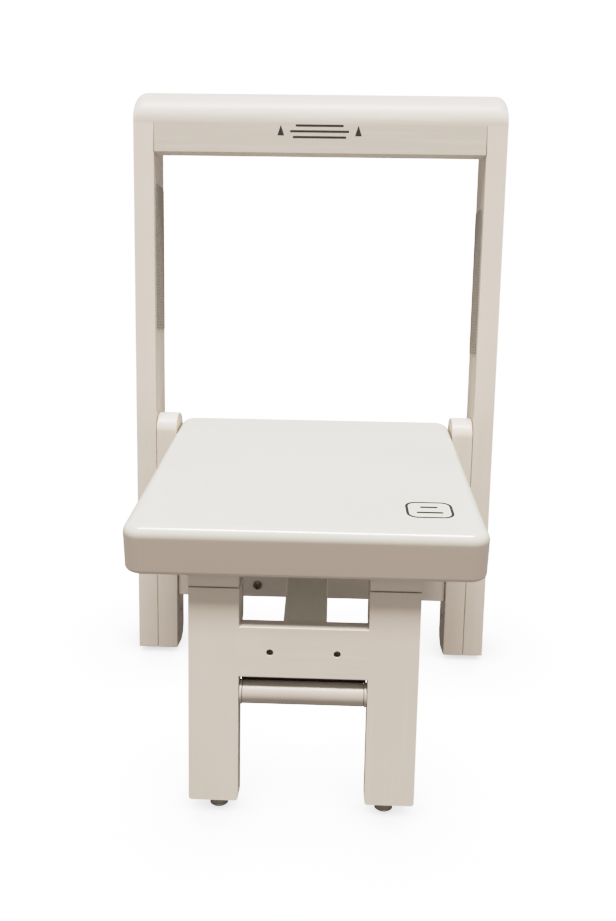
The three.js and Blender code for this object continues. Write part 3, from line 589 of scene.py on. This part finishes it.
def flanked(node, body, finish, beside, foot_radius=0, cutters=(), square=None):
    """A standing board with a flush rail beside its inner face: its edge stays square where they meet."""
    low, high = box_along(LEANING, node)
    rail_low, rail_high = box_along(LEANING, beside)
    outline = rounded((low.x, low.z), (high.x, high.z), [foot_radius, foot_radius, 0, 0])
    on_the_right = low.x > 0
    inner = low.x if on_the_right else high.x
    ends = [z for z in (rail_low.z, rail_high.z) if low.z < z < high.z - EPSILON]
    marks = [(inner, z) for z in (sorted(ends, reverse=True) if on_the_right else ends)]
    if on_the_right:
        outline = outline + marks
    else:
        corner = next(i for i, (x, z) in enumerate(outline) if z > high.z - EPSILON)
        outline = outline[:corner] + marks + outline[corner:]

    def is_flush(point):
        meets = abs(point.x - inner) < EPSILON and rail_low.z - EPSILON < point.z < rail_high.z + EPSILON
        return meets or bool(square and square(point))

    shape = prism(outline, Y, low.y, high.y)
    return make(node + "_fine", shape, LEANING, body, finish, [node], BOARD_EDGE, cutters, is_flush)


def profiled(node, body, finish, axis, radii, axes=LEANING, edge=SMALL_EDGE, cutters=(), square=None):
    """A board with rounded corners, seen along one axis."""
    low, high = box_along(axes, node)
    low_pair = [low[k] for k in range(3) if k != axis]
    high_pair = [high[k] for k in range(3) if k != axis]
    shape = prism(rounded(low_pair, high_pair, radii), axis, low[axis], high[axis])
    return make(node + "_fine", shape, axes, body, finish, [node], edge, cutters, square)


def hole_x(axes, node, radius, start, stop):
    """A cutter along X, round the middle of a pin or screw."""
    at = centre_along(axes, node)
    return prism(circle(at.y, at.z, radius), X, start, stop)


def through_x(axes, node, radius, piece_node):
    low, high = box_along(axes, piece_node)
    return hole_x(axes, node, radius, low.x - MM, high.x + MM)


def outward(side, near, far):
    """Two places along X, measured outwards from the middle, in rising order."""
    return sorted((SIDES[side] * near, SIDES[side] * far))


def pin(node, body, axes):
    """A round bar along X with chamfered ends."""
    low, high = box_along(axes, node)
    radius = (high.y - low.y) / 2
    half = (high.x - low.x) / 2
    profile = [
        (radius - PIN_CHAMFER, -half), (radius, PIN_CHAMFER - half),
        (radius, half - PIN_CHAMFER), (radius - PIN_CHAMFER, half),
    ]
    place = axes @ Matrix.Translation((low + high) / 2) @ TURNS[(X, 1)]
    return make(node + "_fine", turned(profile), place, body, BRIGHT_STEEL, [node])


def tube(node, body, axes, finish, bore):
    """A round tube along X with rounded rims."""
    low, high = box_along(axes, node)
    outer = (high.y - low.y) / 2
    half = (high.x - low.x) / 2
    radii = [TUBE_EDGE / 2, TUBE_EDGE, TUBE_EDGE, TUBE_EDGE / 2]
    profile = rounded((bore, -half), (outer, half), radii, steps=FEW_STEPS)
    place = axes @ Matrix.Translation((low + high) / 2) @ TURNS[(X, 1)]
    return make(node + "_fine", turned(profile, closed=True), place, body, finish, [node])


TURNS = {
    (X, 1): Matrix.Rotation(math.pi / 2, 4, "Y"), (X, -1): Matrix.Rotation(-math.pi / 2, 4, "Y"),
    (Y, 1): Matrix.Rotation(-math.pi / 2, 4, "X"), (Y, -1): Matrix.Rotation(math.pi / 2, 4, "X"),
}


def cross_recess(radius, top, floor):
    """The tapered cross that a screwdriver fits."""
    arm, half = CROSS_ARM * radius, CROSS_HALF_WIDTH * radius
    corners = [(half, half), (half, arm), (-half, arm), (-half, half), (-arm, half), (-arm, -half),
               (-half, -half), (-half, -arm), (half, -arm), (half, -half), (arm, -half), (arm, half)]
    return loft([
        [(u, v, top) for u, v in corners],
        [(u * CROSS_TAPER, v * CROSS_TAPER, floor) for u, v in corners],
    ])


def screw(node, body, axis, facing):
    """A cross-head screw. Its head faces along the leaning axis, up it (1) or down it (-1)."""
    low, high = box_along(LEANING, node)
    radius = (high.z - low.z) / 2
    length = high[axis] - low[axis] - SCREW_HEAD_HEIGHT
    seat = (low + high) / 2
    seat[axis] = (high if facing > 0 else low)[axis] - facing * SCREW_HEAD_HEIGHT
    rim = SCREW_RIM * SCREW_HEAD_HEIGHT
    dome = SCREW_HEAD_HEIGHT - rim
    profile = [
        (SCREW_TIP * SHANK_RADIUS, -length), (SHANK_RADIUS, 2 * SHANK_RADIUS - length), (SHANK_RADIUS, 0),
        (radius - SCREW_CHAMFER, 0), (radius, SCREW_CHAMFER),
    ]
    for step in range(ARC_STEPS):
        angle = step / ARC_STEPS * math.pi / 2
        profile.append((radius * math.cos(angle), rim + dome * math.sin(angle)))
    recess = cross_recess(radius, SCREW_HEAD_HEIGHT + MM, RECESS_FLOOR * SCREW_HEAD_HEIGHT)
    place = LEANING @ Matrix.Translation(seat) @ TURNS[(axis, facing)]
    return make(node + "_fine", turned(profile), place, body, DARK_STEEL, [node], cutters=[recess])


# Back frame ----------------------------------------------------------------------------------------

def uprights(side):
    pivot = f"{side}_seat_pivot_bolt"
    half_width = box_along(LEANING, "ledge")[1].x
    head = box_along(LEANING, pivot)
    head_radius = (head[1].y - head[0].y) / 2 + HOLE_CLEARANCE
    sink = outward(side, half_width - BOLT_SINK, half_width + MM)
    front = f"{side}_upright_front_board"
    rear = f"{side}_upright_rear_board"
    top = box_along(LEANING, front)[1].z

    def under_ledge(point):
        return point.z > top - EPSILON

    sinking = [hole_x(LEANING, pivot, head_radius, *sink)]
    flanked(front, "back_frame", WOOD_UP, "ledge_apron", cutters=sinking, square=under_ledge)
    holes = [
        hole_x(LEANING, pivot, head_radius, *sink),
        through_x(LEANING, pivot, BOLT_RADIUS + HOLE_CLEARANCE, rear),
    ]
    radii = [0, FOOT_RADIUS, 0, 0]
    profiled(rear, "back_frame", WOOD_UP, X, radii, edge=BOARD_EDGE, cutters=holes, square=under_ledge)


def hinge_block(side):
    node = f"{side}_hinge_block"
    inner = min(abs(corner.x) for corner in box_along(LEANING, node))
    tools = [through_x(LEANING, f"{side}_seat_pivot_bolt", BOLT_RADIUS + HOLE_CLEARANCE, node)]
    for place in ("lower", "upper"):
        fixing = f"{side}_block_screw_{place}"
        head = box_along(LEANING, fixing)
        radius = (head[1].z - head[0].z) / 2 + HOLE_CLEARANCE
        tools.append(hole_x(LEANING, fixing, radius, *outward(side, inner - MM, inner + BLOCK_SCREW_SINK)))
        tools.append(through_x(LEANING, fixing, SHANK_RADIUS + HOLE_CLEARANCE, node))
    radii = [0, BLOCK_RADIUS, BLOCK_RADIUS, BLOCK_RADIUS]
    profiled(node, "back_frame", WOOD_UP, X, radii, edge=BOARD_EDGE, cutters=tools)


def ledge():
    """The top board: a long rounded nose in front, and ends that round down in height."""
    low, high = box_along(LEANING, "ledge")
    low.z -= JOINT_GAP
    height = high.z - low.z
    nose_radius = height - JOINT_GAP
    radii = [0, 0, LEDGE_REAR_RADIUS, nose_radius]
    section = rounded((low.y, 0), (high.y, height), radii, steps=2 * ARC_STEPS)
    stations = []
    for step in range(ARC_STEPS + 1):
        angle = step / ARC_STEPS * math.pi / 2
        stations.append((
            high.x - LEDGE_END_RADIUS * (1 - math.sin(angle)),
            height - LEDGE_END_RADIUS * (1 - math.cos(angle)),
        ))
    stations = [(-x, tall) for x, tall in reversed(stations)] + stations
    rings = [[(x, y, low.z + z * tall / height) for y, z in section] for x, tall in stations]
    rear = high.y - LEDGE_REAR_RADIUS

    def over_boards(point):
        return point.z < low.z + 2 * JOINT_GAP and point.y < rear

    make(
        "ledge_fine", loft(rings), LEANING, "back_frame", WOOD_LEDGE, ["ledge"], SMALL_EDGE,
        square=over_boards)


def pivot_bolt(side):
    """The seat's pivot bolt: a round head with a hexagonal socket, sunk in the upright."""
    node = f"{side}_seat_pivot_bolt"
    low, high = box_along(LEANING, node)
    radius = (high.y - low.y) / 2
    length = high.x - low.x - BOLT_HEAD_HEIGHT
    seat = (low + high) / 2
    seat.x = SIDES[side] * (max(abs(low.x), abs(high.x)) - BOLT_HEAD_HEIGHT)
    rim = BOLT_CHAMFER
    profile = [
        (BOLT_RADIUS - rim, -length), (BOLT_RADIUS, rim - length), (BOLT_RADIUS, 0), (radius, 0),
        (radius, BOLT_HEAD_HEIGHT - rim), (radius - rim, BOLT_HEAD_HEIGHT),
    ]
    hexagon = circle(0, 0, SOCKET_SHARE * radius, steps=6)
    recess = prism(hexagon, Z, RECESS_FLOOR * BOLT_HEAD_HEIGHT, BOLT_HEAD_HEIGHT + MM)
    place = LEANING @ Matrix.Translation(seat) @ TURNS[(X, SIDES[side])]
    make(node + "_fine", turned(profile), place, "back_frame", BRIGHT_STEEL, [node], cutters=[recess])


def brace_ear(side):
    node = f"{side}_brace_ear"
    low, high = box_along(LEANING, node)
    radius = (high.z - low.z) / 2
    pin_radius = pin_hole("brace_rear_pin")
    tools = [through_x(LEANING, "brace_rear_pin", pin_radius, node)]
    profiled(node, "back_frame", WOOD_DEEP, X, [radius, 0, 0, radius], cutters=tools)


def pin_hole(node):
    low, high = box_along(LEANING, node)
    return (high.z - low.z) / 2 + HOLE_CLEARANCE


def sticker(side):
    profiled(f"{side}_sticker", "back_frame", STICKER, X, [STICKER_CORNER] * 4, edge=0)


def rear_rail():
    at = centre_along(LEANING, "rear_rail_screw")
    low, high = box_along(LEANING, "rear_rail")
    shank = prism(circle(at.x, at.z, SHANK_RADIUS + HOLE_CLEARANCE), Y, low.y - MM, high.y - RAIL_SCREW_STOP)
    board("rear_rail", "back_frame", WOOD_ACROSS, cutters=[shank])


def back_frame():
    for side in SIDES:
        uprights(side)
        hinge_block(side)
        pivot_bolt(side)
        brace_ear(side)
        sticker(side)
        screw(f"{side}_brace_ear_screw", "back_frame", Y, 1)
        for place in ("lower", "upper"):
            screw(f"{side}_block_screw_{place}", "back_frame", X, -SIDES[side])
    ledge()
    corner = box_along(LEANING, "ledge_apron")[1]

    def at_ledge_or_upright(point):
        return point.z > corner.z - EPSILON or abs(point.x) > corner.x - EPSILON

    board("ledge_apron", "back_frame", WOOD_LEDGE, square=at_ledge_or_upright)
    rear_rail()
    board("brace_rail", "back_frame", WOOD_ACROSS)
    screw("rear_rail_screw", "back_frame", Y, -1)
    pin("brace_rear_pin", "back_frame", LEANING)


# Seat ----------------------------------------------------------------------------------------------

def seat_ring(low, high, inset, z):
    corner = max(SEAT_CORNER_RADIUS - inset, INNER_CORNER)
    near, far = (low.x + inset, low.y + inset), (high.x - inset, high.y - inset)
    return [(x, y, z) for x, y in rounded(near, far, [corner] * 4, steps=SEAT_CORNER_STEPS)]


def seat_shell():
    """A hollow slab: flat top, long-radius upper edge, short-radius lower edge, open underside."""
    low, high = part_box("seat_shell")
    ceiling = high.z - SEAT_SKIN
    rings = [
        (SEAT_WALL + INNER_CORNER, ceiling), (SEAT_WALL, ceiling - INNER_CORNER),
        (SEAT_WALL, low.z + RIM_BEVEL_HEIGHT), (SEAT_WALL - RIM_BEVEL_WIDTH, low.z),
    ]
    for step in range(SEAT_BOTTOM_STEPS + 1):
        angle = step / SEAT_BOTTOM_STEPS * math.pi / 2
        rings.append((
            SEAT_BOTTOM_RADIUS * (1 - math.sin(angle)),
            low.z + SEAT_BOTTOM_RADIUS * (1 - math.cos(angle)),
        ))
    for step in range(ARC_STEPS + 1):
        angle = step / ARC_STEPS * math.pi / 2
        rings.append((
            SEAT_TOP_RADIUS * (1 - math.cos(angle)),
            high.z - SEAT_TOP_RADIUS * (1 - math.sin(angle)),
        ))
    shape = loft([seat_ring(low, high, inset, z) for inset, z in rings])
    bolt_hole = through_x(LEVEL, "left_seat_pivot_bolt", BOLT_RADIUS + HOLE_CLEARANCE, "seat_shell")
    tools = [brace_notch(low, high), bolt_hole]
    make("seat_shell_fine", shape, LEVEL, "seat", SEAT_FINISH, ["seat_shell"], cutters=tools)


def brace_notch(low, high):
    """The opening in the shell's rear wall that the folded brace passes through."""
    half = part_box("brace_bar")[1].x + NOTCH_CLEARANCE
    points = [vertex.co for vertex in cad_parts["seat_shell"].data.vertices]
    top = max(point.z for point in points if abs(abs(point.x) - half) < ON_THE_SPOT)
    outline = rounded((-half, low.z - 2 * MM), (half, top), [0, 0, NOTCH_RADIUS, NOTCH_RADIUS])
    return prism(outline, Y, high.y - 2 * SEAT_WALL, high.y + MM)


def seat_ribs():
    """Shallow stiffening ribs under the skin, between the bars inside the shell."""
    low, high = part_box("seat_shell")
    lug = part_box("right_leg_lug")
    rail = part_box("right_seat_rail")
    ceiling = high.z - SEAT_SKIN
    spans = [(RIB_GAP - lug[0].x, lug[0].x - RIB_GAP), (lug[1].x + RIB_GAP, rail[0].x - RIB_GAP)]
    spans.append((-spans[1][1], -spans[1][0]))
    shape = bmesh.new()
    spacing = (high.y - low.y - 2 * SEAT_CORNER_RADIUS) / (RIB_COUNT - 1)
    for number in range(RIB_COUNT):
        y = low.y + SEAT_CORNER_RADIUS + number * spacing
        for start, stop in spans:
            section = [
                (y - RIB_WIDTH / 2, ceiling), (y - RIB_WIDTH / 3, ceiling - RIB_HEIGHT),
                (y + RIB_WIDTH / 3, ceiling - RIB_HEIGHT), (y + RIB_WIDTH / 2, ceiling),
            ]
            rib = prism(section, X, start, stop)
            mesh = bpy.data.meshes.new("rib")
            rib.to_mesh(mesh)
            rib.free()
            shape.from_mesh(mesh)
            bpy.data.meshes.remove(mesh)
    make("seat_ribs", shape, LEVEL, "seat", SEAT_FINISH)


def leg_lug(side):
    """A bar inside the seat with a round-ended tongue that hangs down to the leg's pin."""
    node = f"{side}_leg_lug"
    low, high = box_along(LEVEL, node)
    at = centre_along(LEVEL, f"{side}_leg_pin")
    radius = at.z - low.z
    bar_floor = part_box("seat_shell")[0].z + BAR_RISE
    steps = 2 * ARC_STEPS
    angles = [math.pi * (1 + step / steps) for step in range(steps + 1)]
    outline = [(low.y, bar_floor), (at.y - radius, bar_floor)]
    outline += [(at.y + radius * math.cos(angle), at.z + radius * math.sin(angle)) for angle in angles]
    outline += [(at.y + radius, bar_floor), (high.y, bar_floor), (high.y, high.z), (low.y, high.z)]
    shape = prism(outline, X, low.x, high.x)
    tools = [through_x(LEVEL, f"{side}_leg_pin", pin_hole(f"{side}_leg_pin"), node)]
    make(node + "_fine", shape, LEVEL, "seat", WOOD_DEEP, [node], SMALL_EDGE, tools)


def hinge_carrier(side):
    """The block between the seat and the top of a leg, as wide as the leg and set back from its face."""
    leg_low, leg_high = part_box(f"{side}_leg")
    bar_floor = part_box("seat_shell")[0].z + BAR_RISE
    leaning_low, leaning_high = box_along(LEANING, f"{side}_leg")
    top_front = LEANING @ Vector((0, leaning_low.y, leaning_high.z))
    front = top_front.y + CARRIER_SETBACK
    low = Vector((leg_low.x, front, leg_high.z + 2 * JOINT_GAP))
    high = Vector((leg_high.x, front + CARRIER_DEPTH, bar_floor))
    make(f"{side}_hinge_carrier", block(low, high), LEVEL, "seat", WOOD_ACROSS, edge=SMALL_EDGE)


def seat():
    seat_shell()
    seat_ribs()
    for side in SIDES:
        leg_lug(side)
        hinge_carrier(side)
        rail = f"{side}_seat_rail"
        tools = [through_x(LEVEL, f"{side}_seat_pivot_bolt", BOLT_RADIUS + HOLE_CLEARANCE, rail)]
        board(rail, "seat", WOOD_DEEP, LEVEL, SMALL_EDGE, tools)


# Leg frame, roller and brace -----------------------------------------------------------------------

def leg(side):
    node = f"{side}_leg"
    low, high = box_along(LEANING, node)
    inner = min(abs(low.x), abs(high.x))
    radius = pin_hole("roller_rod")
    reach = outward(side, inner - MM, inner + ROD_BITE + HOLE_CLEARANCE)
    tools = [hole_x(LEANING, "roller_rod", radius, *reach)]
    flanked(node, "leg_frame", WOOD_UP, "cross_rail", foot_radius=LEG_FOOT_RADIUS, cutters=tools)


def cross_rail():
    low, high = box_along(LEANING, "cross_rail")
    tools = []
    for side in SIDES:
        fixing = f"{side}_cross_rail_screw"
        at = centre_along(LEANING, fixing)
        head = pin_hole(fixing)
        tools.append(prism(circle(at.x, at.z, head), Y, low.y - MM, low.y + CROSS_SCREW_SINK))
        tools.append(prism(circle(at.x, at.z, SHANK_RADIUS + HOLE_CLEARANCE), Y, low.y, high.y + MM))

    def at_leg(point):
        return abs(point.x) > high.x - EPSILON

    board("cross_rail", "leg_frame", WOOD_ACROSS, cutters=tools, square=at_leg, grow=(JOINT_GAP, 0, 0))


def roller_lip():
    """Painted shade: a near-black strip behind the gap between the cross rail and the roller, that makes the
    gap dark.
    """
    rail_low, rail_high = box_along(LEANING, "cross_rail")
    roller = centre_along(LEANING, "roller_rod")
    low = Vector((rail_low.x + SHADE_STRIP_END_GAP, roller.y + SHADE_STRIP_BEHIND, roller.z + SHADE_STRIP_FOOT))
    high = Vector((rail_high.x - SHADE_STRIP_END_GAP, low.y + SHADE_STRIP_THICKNESS, rail_low.z))
    make("roller_lip", block(low, high), LEANING, "leg_frame", GAP_SHADE_FINISH, edge=SHADE_STRIP_THICKNESS / 5)


def cheek(side, place):
    node = f"{side}_hinge_cheek_{place}"
    tools = [through_x(LEANING, f"{side}_leg_pin", pin_hole(f"{side}_leg_pin"), node)]
    profiled(node, "leg_frame", WOOD_UP, X, [0, CHEEK_FOOT_RADIUS, CHEEK_TOP_RADIUS, 0], cutters=tools)


def clevis_ear(side):
    node = f"{side}_clevis_ear"
    low, high = box_along(LEANING, node)
    radius = (high.z - low.z) / 2
    tools = [through_x(LEANING, "brace_front_pin", pin_hole("brace_front_pin"), node)]
    profiled(node, "leg_frame", WOOD_DEEP, X, [0, radius, radius, 0], cutters=tools)


def floor_glide(side):
    """A domed nylon glide with a shoulder groove."""
    node = f"{side}_floor_glide"
    low, high = box_along(LEANING, node)
    radius = (high.x - low.x) / 2
    height = high.z - low.z
    widest = math.asin(radius / GLIDE_DOME)
    shoulder = GLIDE_DOME * (1 - math.cos(widest))
    profile = []
    for step in range(1, ARC_STEPS + 1):
        angle = widest * step / ARC_STEPS
        profile.append((GLIDE_DOME * math.sin(angle), GLIDE_DOME * (1 - math.cos(angle))))
    groove = GLIDE_GROOVE
    profile += [
        (radius, shoulder + 2 * groove), (radius - groove, shoulder + 3 * groove),
        (radius - groove, shoulder + 4 * groove), (radius, shoulder + 5 * groove),
        (radius, height - groove), (radius - groove, height),
    ]
    foot = (low + high) / 2
    foot.z = low.z
    place = LEANING @ Matrix.Translation(foot)
    make(node + "_fine", turned(profile), place, "leg_frame", NYLON, [node])


def leg_frame():
    for side in SIDES:
        leg(side)
        cheek(side, "outer")
        cheek(side, "inner")
        clevis_ear(side)
        floor_glide(side)
        pin(f"{side}_leg_pin", "leg_frame", LEANING)
        screw(f"{side}_cross_rail_screw", "leg_frame", Y, -1)
        tube(f"{side}_roller_collar", "leg_frame", LEANING, ROLLER_FINISH, pin_hole("roller_rod"))
    cross_rail()
    roller_lip()
    pin("roller_rod", "leg_frame", LEANING)
    pin("brace_front_pin", "leg_frame", LEANING)


def roller():
    tube("roller_sleeve", "roller", LEANING, ROLLER_FINISH, ROLLER_BORE)


def brace():
    """A flat bar with round ends, bored for the two link pins."""
    low, high = box_along(ALONG_BRACE, "brace_bar")
    radius = (high.z - low.z) / 2
    open_pivot = pin_hole("brace_front_pin") - HOLE_CLEARANCE + OPEN_PIVOT_CLEARANCE
    tools = [
        through_x(ALONG_BRACE, "brace_rear_pin", pin_hole("brace_rear_pin"), "brace_bar"),
        through_x(ALONG_BRACE, "brace_front_pin", open_pivot, "brace_bar"),
    ]
    profiled("brace_bar", "brace", BRACE_FINISH, X, [radius] * 4, ALONG_BRACE, BRACE_EDGE, tools)


# Printed marks -------------------------------------------------------------------------------------

INK_THICKNESS = 0.08 * MM

LEDGE_BAR_HALVES = (26 * MM, 32 * MM, 29 * MM)
LEDGE_BAR_HEIGHT = 2.2 * MM
LEDGE_BAR_PITCH = 6 * MM
LEDGE_MARK_DROP = 0.8 * MM          # below the ledge
TRIANGLE_PLACE = 42 * MM            # on either side of the middle
TRIANGLE_HALF_WIDTH = 3.6 * MM
TRIANGLE_HEIGHT = 11 * MM

SEAT_MARK_FROM_SIDE = (69 * MM, 27 * MM)
SEAT_MARK_FROM_FRONT = (36 * MM, 72 * MM)
SEAT_MARK_CORNER = 10 * MM
SEAT_MARK_LINE = 2.4 * MM
SEAT_BAR_HALVES = (12 * MM, 8 * MM)
SEAT_BAR_HALF_HEIGHT = 1.7 * MM
SEAT_BAR_CORNER = 1.6 * MM


def joined(shapes):
    """Several separate shapes as one."""
    whole = bmesh.new()
    for shape in shapes:
        mesh = bpy.data.meshes.new("part")
        shape.to_mesh(mesh)
        shape.free()
        whole.from_mesh(mesh)
        bpy.data.meshes.remove(mesh)
    return whole


def ledge_mark():
    """A generic mark on the apron: plain bars between two small triangles."""
    low, high = box_along(LEANING, "ledge_apron")
    front, top = low.y, high.z - LEDGE_MARK_DROP
    corner = LEDGE_BAR_HEIGHT / 2.2
    shapes = []
    for number, half in enumerate(LEDGE_BAR_HALVES):
        z = top - number * LEDGE_BAR_PITCH
        outline = rounded((-half, z - LEDGE_BAR_HEIGHT), (half, z), [corner] * 4, steps=FEW_STEPS)
        shapes.append(prism(outline, Y, front - INK_THICKNESS, front))
    for side in SIDES.values():
        x, half = side * TRIANGLE_PLACE, TRIANGLE_HALF_WIDTH
        base = top - LEDGE_BAR_PITCH - TRIANGLE_HEIGHT / 2
        outline = [(x - half, base), (x + half, base), (x, base + TRIANGLE_HEIGHT)]
        shapes.append(prism(outline, Y, front - INK_THICKNESS, front))
    make("ledge_mark", joined(shapes), LEANING, "back_frame", FRAME_INK)


def frame_of(low, high, radius, line):
    """The outer and inner outline of a line along a rounded rectangle."""
    outer = rounded(low, high, [radius] * 4)
    inner = rounded(
        (low[0] + line, low[1] + line), (high[0] - line, high[1] - line), [radius - line] * 4)
    return outer, inner


def seat_mark():
    """A generic mark on the seat: a rounded frame with two plain bars in it."""
    low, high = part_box("seat_shell")
    x0, x1 = [high.x - inset for inset in SEAT_MARK_FROM_SIDE]
    y0, y1 = [low.y + inset for inset in SEAT_MARK_FROM_FRONT]
    top = high.z + INK_THICKNESS
    outer, inner = frame_of((x0, y0), (x1, y1), SEAT_MARK_CORNER, SEAT_MARK_LINE)
    rings = [
        [(x, y, high.z) for x, y in outer], [(x, y, top) for x, y in outer],
        [(x, y, top) for x, y in inner], [(x, y, high.z) for x, y in inner],
    ]
    shapes = [loft(rings, closed=True)]
    x, tall = (x0 + x1) / 2, SEAT_BAR_HALF_HEIGHT
    for number, half in enumerate(SEAT_BAR_HALVES):
        y = y0 + (number + 1) * (y1 - y0) / (len(SEAT_BAR_HALVES) + 1)
        outline = rounded((x - half, y - tall), (x + half, y + tall), [SEAT_BAR_CORNER] * 4, steps=FEW_STEPS)
        shapes.append(prism(outline, Z, high.z, top))
    make("seat_mark", joined(shapes), LEVEL, "seat", SEAT_INK)


# Stage ---------------------------------------------------------------------------------------------

AMBIENT = tinted(1.0, 0.93, 0.85)
AMBIENT_STRENGTH = 0.40
KEY_STRENGTH = 1.90                 # light on a level surface, as a share of what makes white paper white
BACKDROP_STRENGTH = 3.0
FLOOR_SHADOW = 0.55                 # of the floor where it sees no sky
SHADOW_REACH = 0.12
FLOOR_HALF_SIZE = 30.0
FLOOR_COLOUR = tinted(0.235, 0.222, 0.205)      # of what it throws back on the object
KEY_COLOUR = (1.0, 0.985, 0.95)
KEY_DISTANCE = 7.0
KEY_ANGLE = math.radians(8)         # ahead of straight down
KEY_SIZE = (4.4, 1.46)


def key_light():
    light = bpy.data.lights.new("key", "AREA")
    light.shape = "RECTANGLE"
    light.size, light.size_y = KEY_SIZE
    light.color = KEY_COLOUR
    light.energy = KEY_STRENGTH * (math.pi * KEY_DISTANCE) ** 2
    lamp = bpy.data.objects.new("key", light)
    bpy.context.scene.collection.objects.link(lamp)
    aim = (cad_box[0] + cad_box[1]) / 2
    towards = Vector((0, -math.sin(KEY_ANGLE), math.cos(KEY_ANGLE)))
    lamp.location = aim + towards * KEY_DISTANCE
    lamp.rotation_mode = "QUATERNION"
    lamp.rotation_quaternion = towards.to_track_quat("Z", "Y")


def surroundings():
    """A white backdrop for the camera, and a softer warm light on the object."""
    world = bpy.data.worlds.new("surroundings")
    bpy.context.scene.world = world
    world.use_nodes = True
    tree = world.node_tree
    tree.nodes.clear()
    seen = add(tree, "Background", {"Color": grey(1.0), "Strength": BACKDROP_STRENGTH})
    lit = add(tree, "Background", {"Color": AMBIENT, "Strength": AMBIENT_STRENGTH})
    camera_ray = add(tree, "LightPath").outputs["Is Camera Ray"]
    mixed = add(tree, "MixShader", {0: camera_ray, 1: lit.outputs[0], 2: seen.outputs[0]})
    out = add(tree, "OutputWorld")
    tree.links.new(mixed.outputs[0], out.inputs["Surface"])


def floor():
    """A pale floor with a painted shadow: darker where the object stands close over it."""
    size = FLOOR_HALF_SIZE
    ground = bmesh.new()
    corners = [ground.verts.new((x, y, 0)) for x, y in rounded((-size, -size), (size, size), [0] * 4)]
    ground.faces.new(corners)
    plane = as_object("floor", ground, LEVEL)
    look = bpy.data.materials.new("floor")
    look.use_nodes = True
    tree = look.node_tree
    tree.nodes.clear()
    bounce = add(tree, "BsdfDiffuse", {"Color": FLOOR_COLOUR})
    shade = add(tree, "AmbientOcclusion", {"Distance": SHADOW_REACH}, samples=16).outputs["AO"]
    strength = between(tree, shade, 0, 1, FLOOR_SHADOW, BACKDROP_STRENGTH)
    seen = add(tree, "Emission", {"Color": grey(1.0), "Strength": strength})
    camera_ray = add(tree, "LightPath").outputs["Is Camera Ray"]
    mixed = add(tree, "MixShader", {0: camera_ray, 1: bounce.outputs[0], 2: seen.outputs[0]})
    out = add(tree, "OutputMaterial")
    tree.links.new(mixed.outputs[0], out.inputs["Surface"])
    plane.data.materials.append(look)


CAMERA_PLACE = Vector((0.0207, -0.84993, 0.56132))
CAMERA_PITCH = math.radians(19.6833)
CAMERA_YAW = math.radians(1.6588)
CAMERA_ROLL = math.radians(0.7188)
FOCAL_LENGTH = 50.162               # on a 36 mm wide sensor
SENSOR_WIDTH = 36.0


def camera():
    data = bpy.data.cameras.new("camera")
    data.sensor_fit = "HORIZONTAL"
    data.sensor_width = SENSOR_WIDTH
    data.lens = FOCAL_LENGTH
    made = bpy.data.objects.new("camera", data)
    bpy.context.scene.collection.objects.link(made)
    tilt, turn = CAMERA_PITCH, CAMERA_YAW
    right = Vector((math.cos(turn), math.sin(turn), 0))
    down = Vector((math.sin(turn) * math.sin(tilt), -math.cos(turn) * math.sin(tilt), -math.cos(tilt)))
    ahead = Vector((-math.sin(turn) * math.cos(tilt), math.cos(turn) * math.cos(tilt), -math.sin(tilt)))
    across = math.cos(CAMERA_ROLL) * right - math.sin(CAMERA_ROLL) * down
    upward = -(math.sin(CAMERA_ROLL) * right + math.cos(CAMERA_ROLL) * down)
    axes = Matrix((across, upward, -ahead)).transposed()
    made.matrix_world = Matrix.Translation(CAMERA_PLACE) @ axes.to_4x4()
    bpy.context.scene.camera = made


TONE_WHITE = 3.0
TONE_POINTS = ((0.25, 0.25), (0.5, 0.49), (0.75, 0.65), (1.0, 0.75), (1.4, 0.82), (2.0, 0.91))


def tone():
    """Softens the highlights, as a camera does: scene light against shown light, up to TONE_WHITE."""
    view = bpy.context.scene.view_settings
    view.view_transform = "Standard"
    view.use_curve_mapping = True
    view.curve_mapping.white_level = (TONE_WHITE, TONE_WHITE, TONE_WHITE)
    combined = 3
    whole = view.curve_mapping.curves[combined]
    for light, shown in TONE_POINTS:
        whole.points.new(light / TONE_WHITE, shown)
    view.curve_mapping.update()


def build():
    camera()
    tone()
    key_light()
    surroundings()
    floor()
    back_frame()
    seat()
    leg_frame()
    roller()
    brace()
    ledge_mark()
    seat_mark()


build()
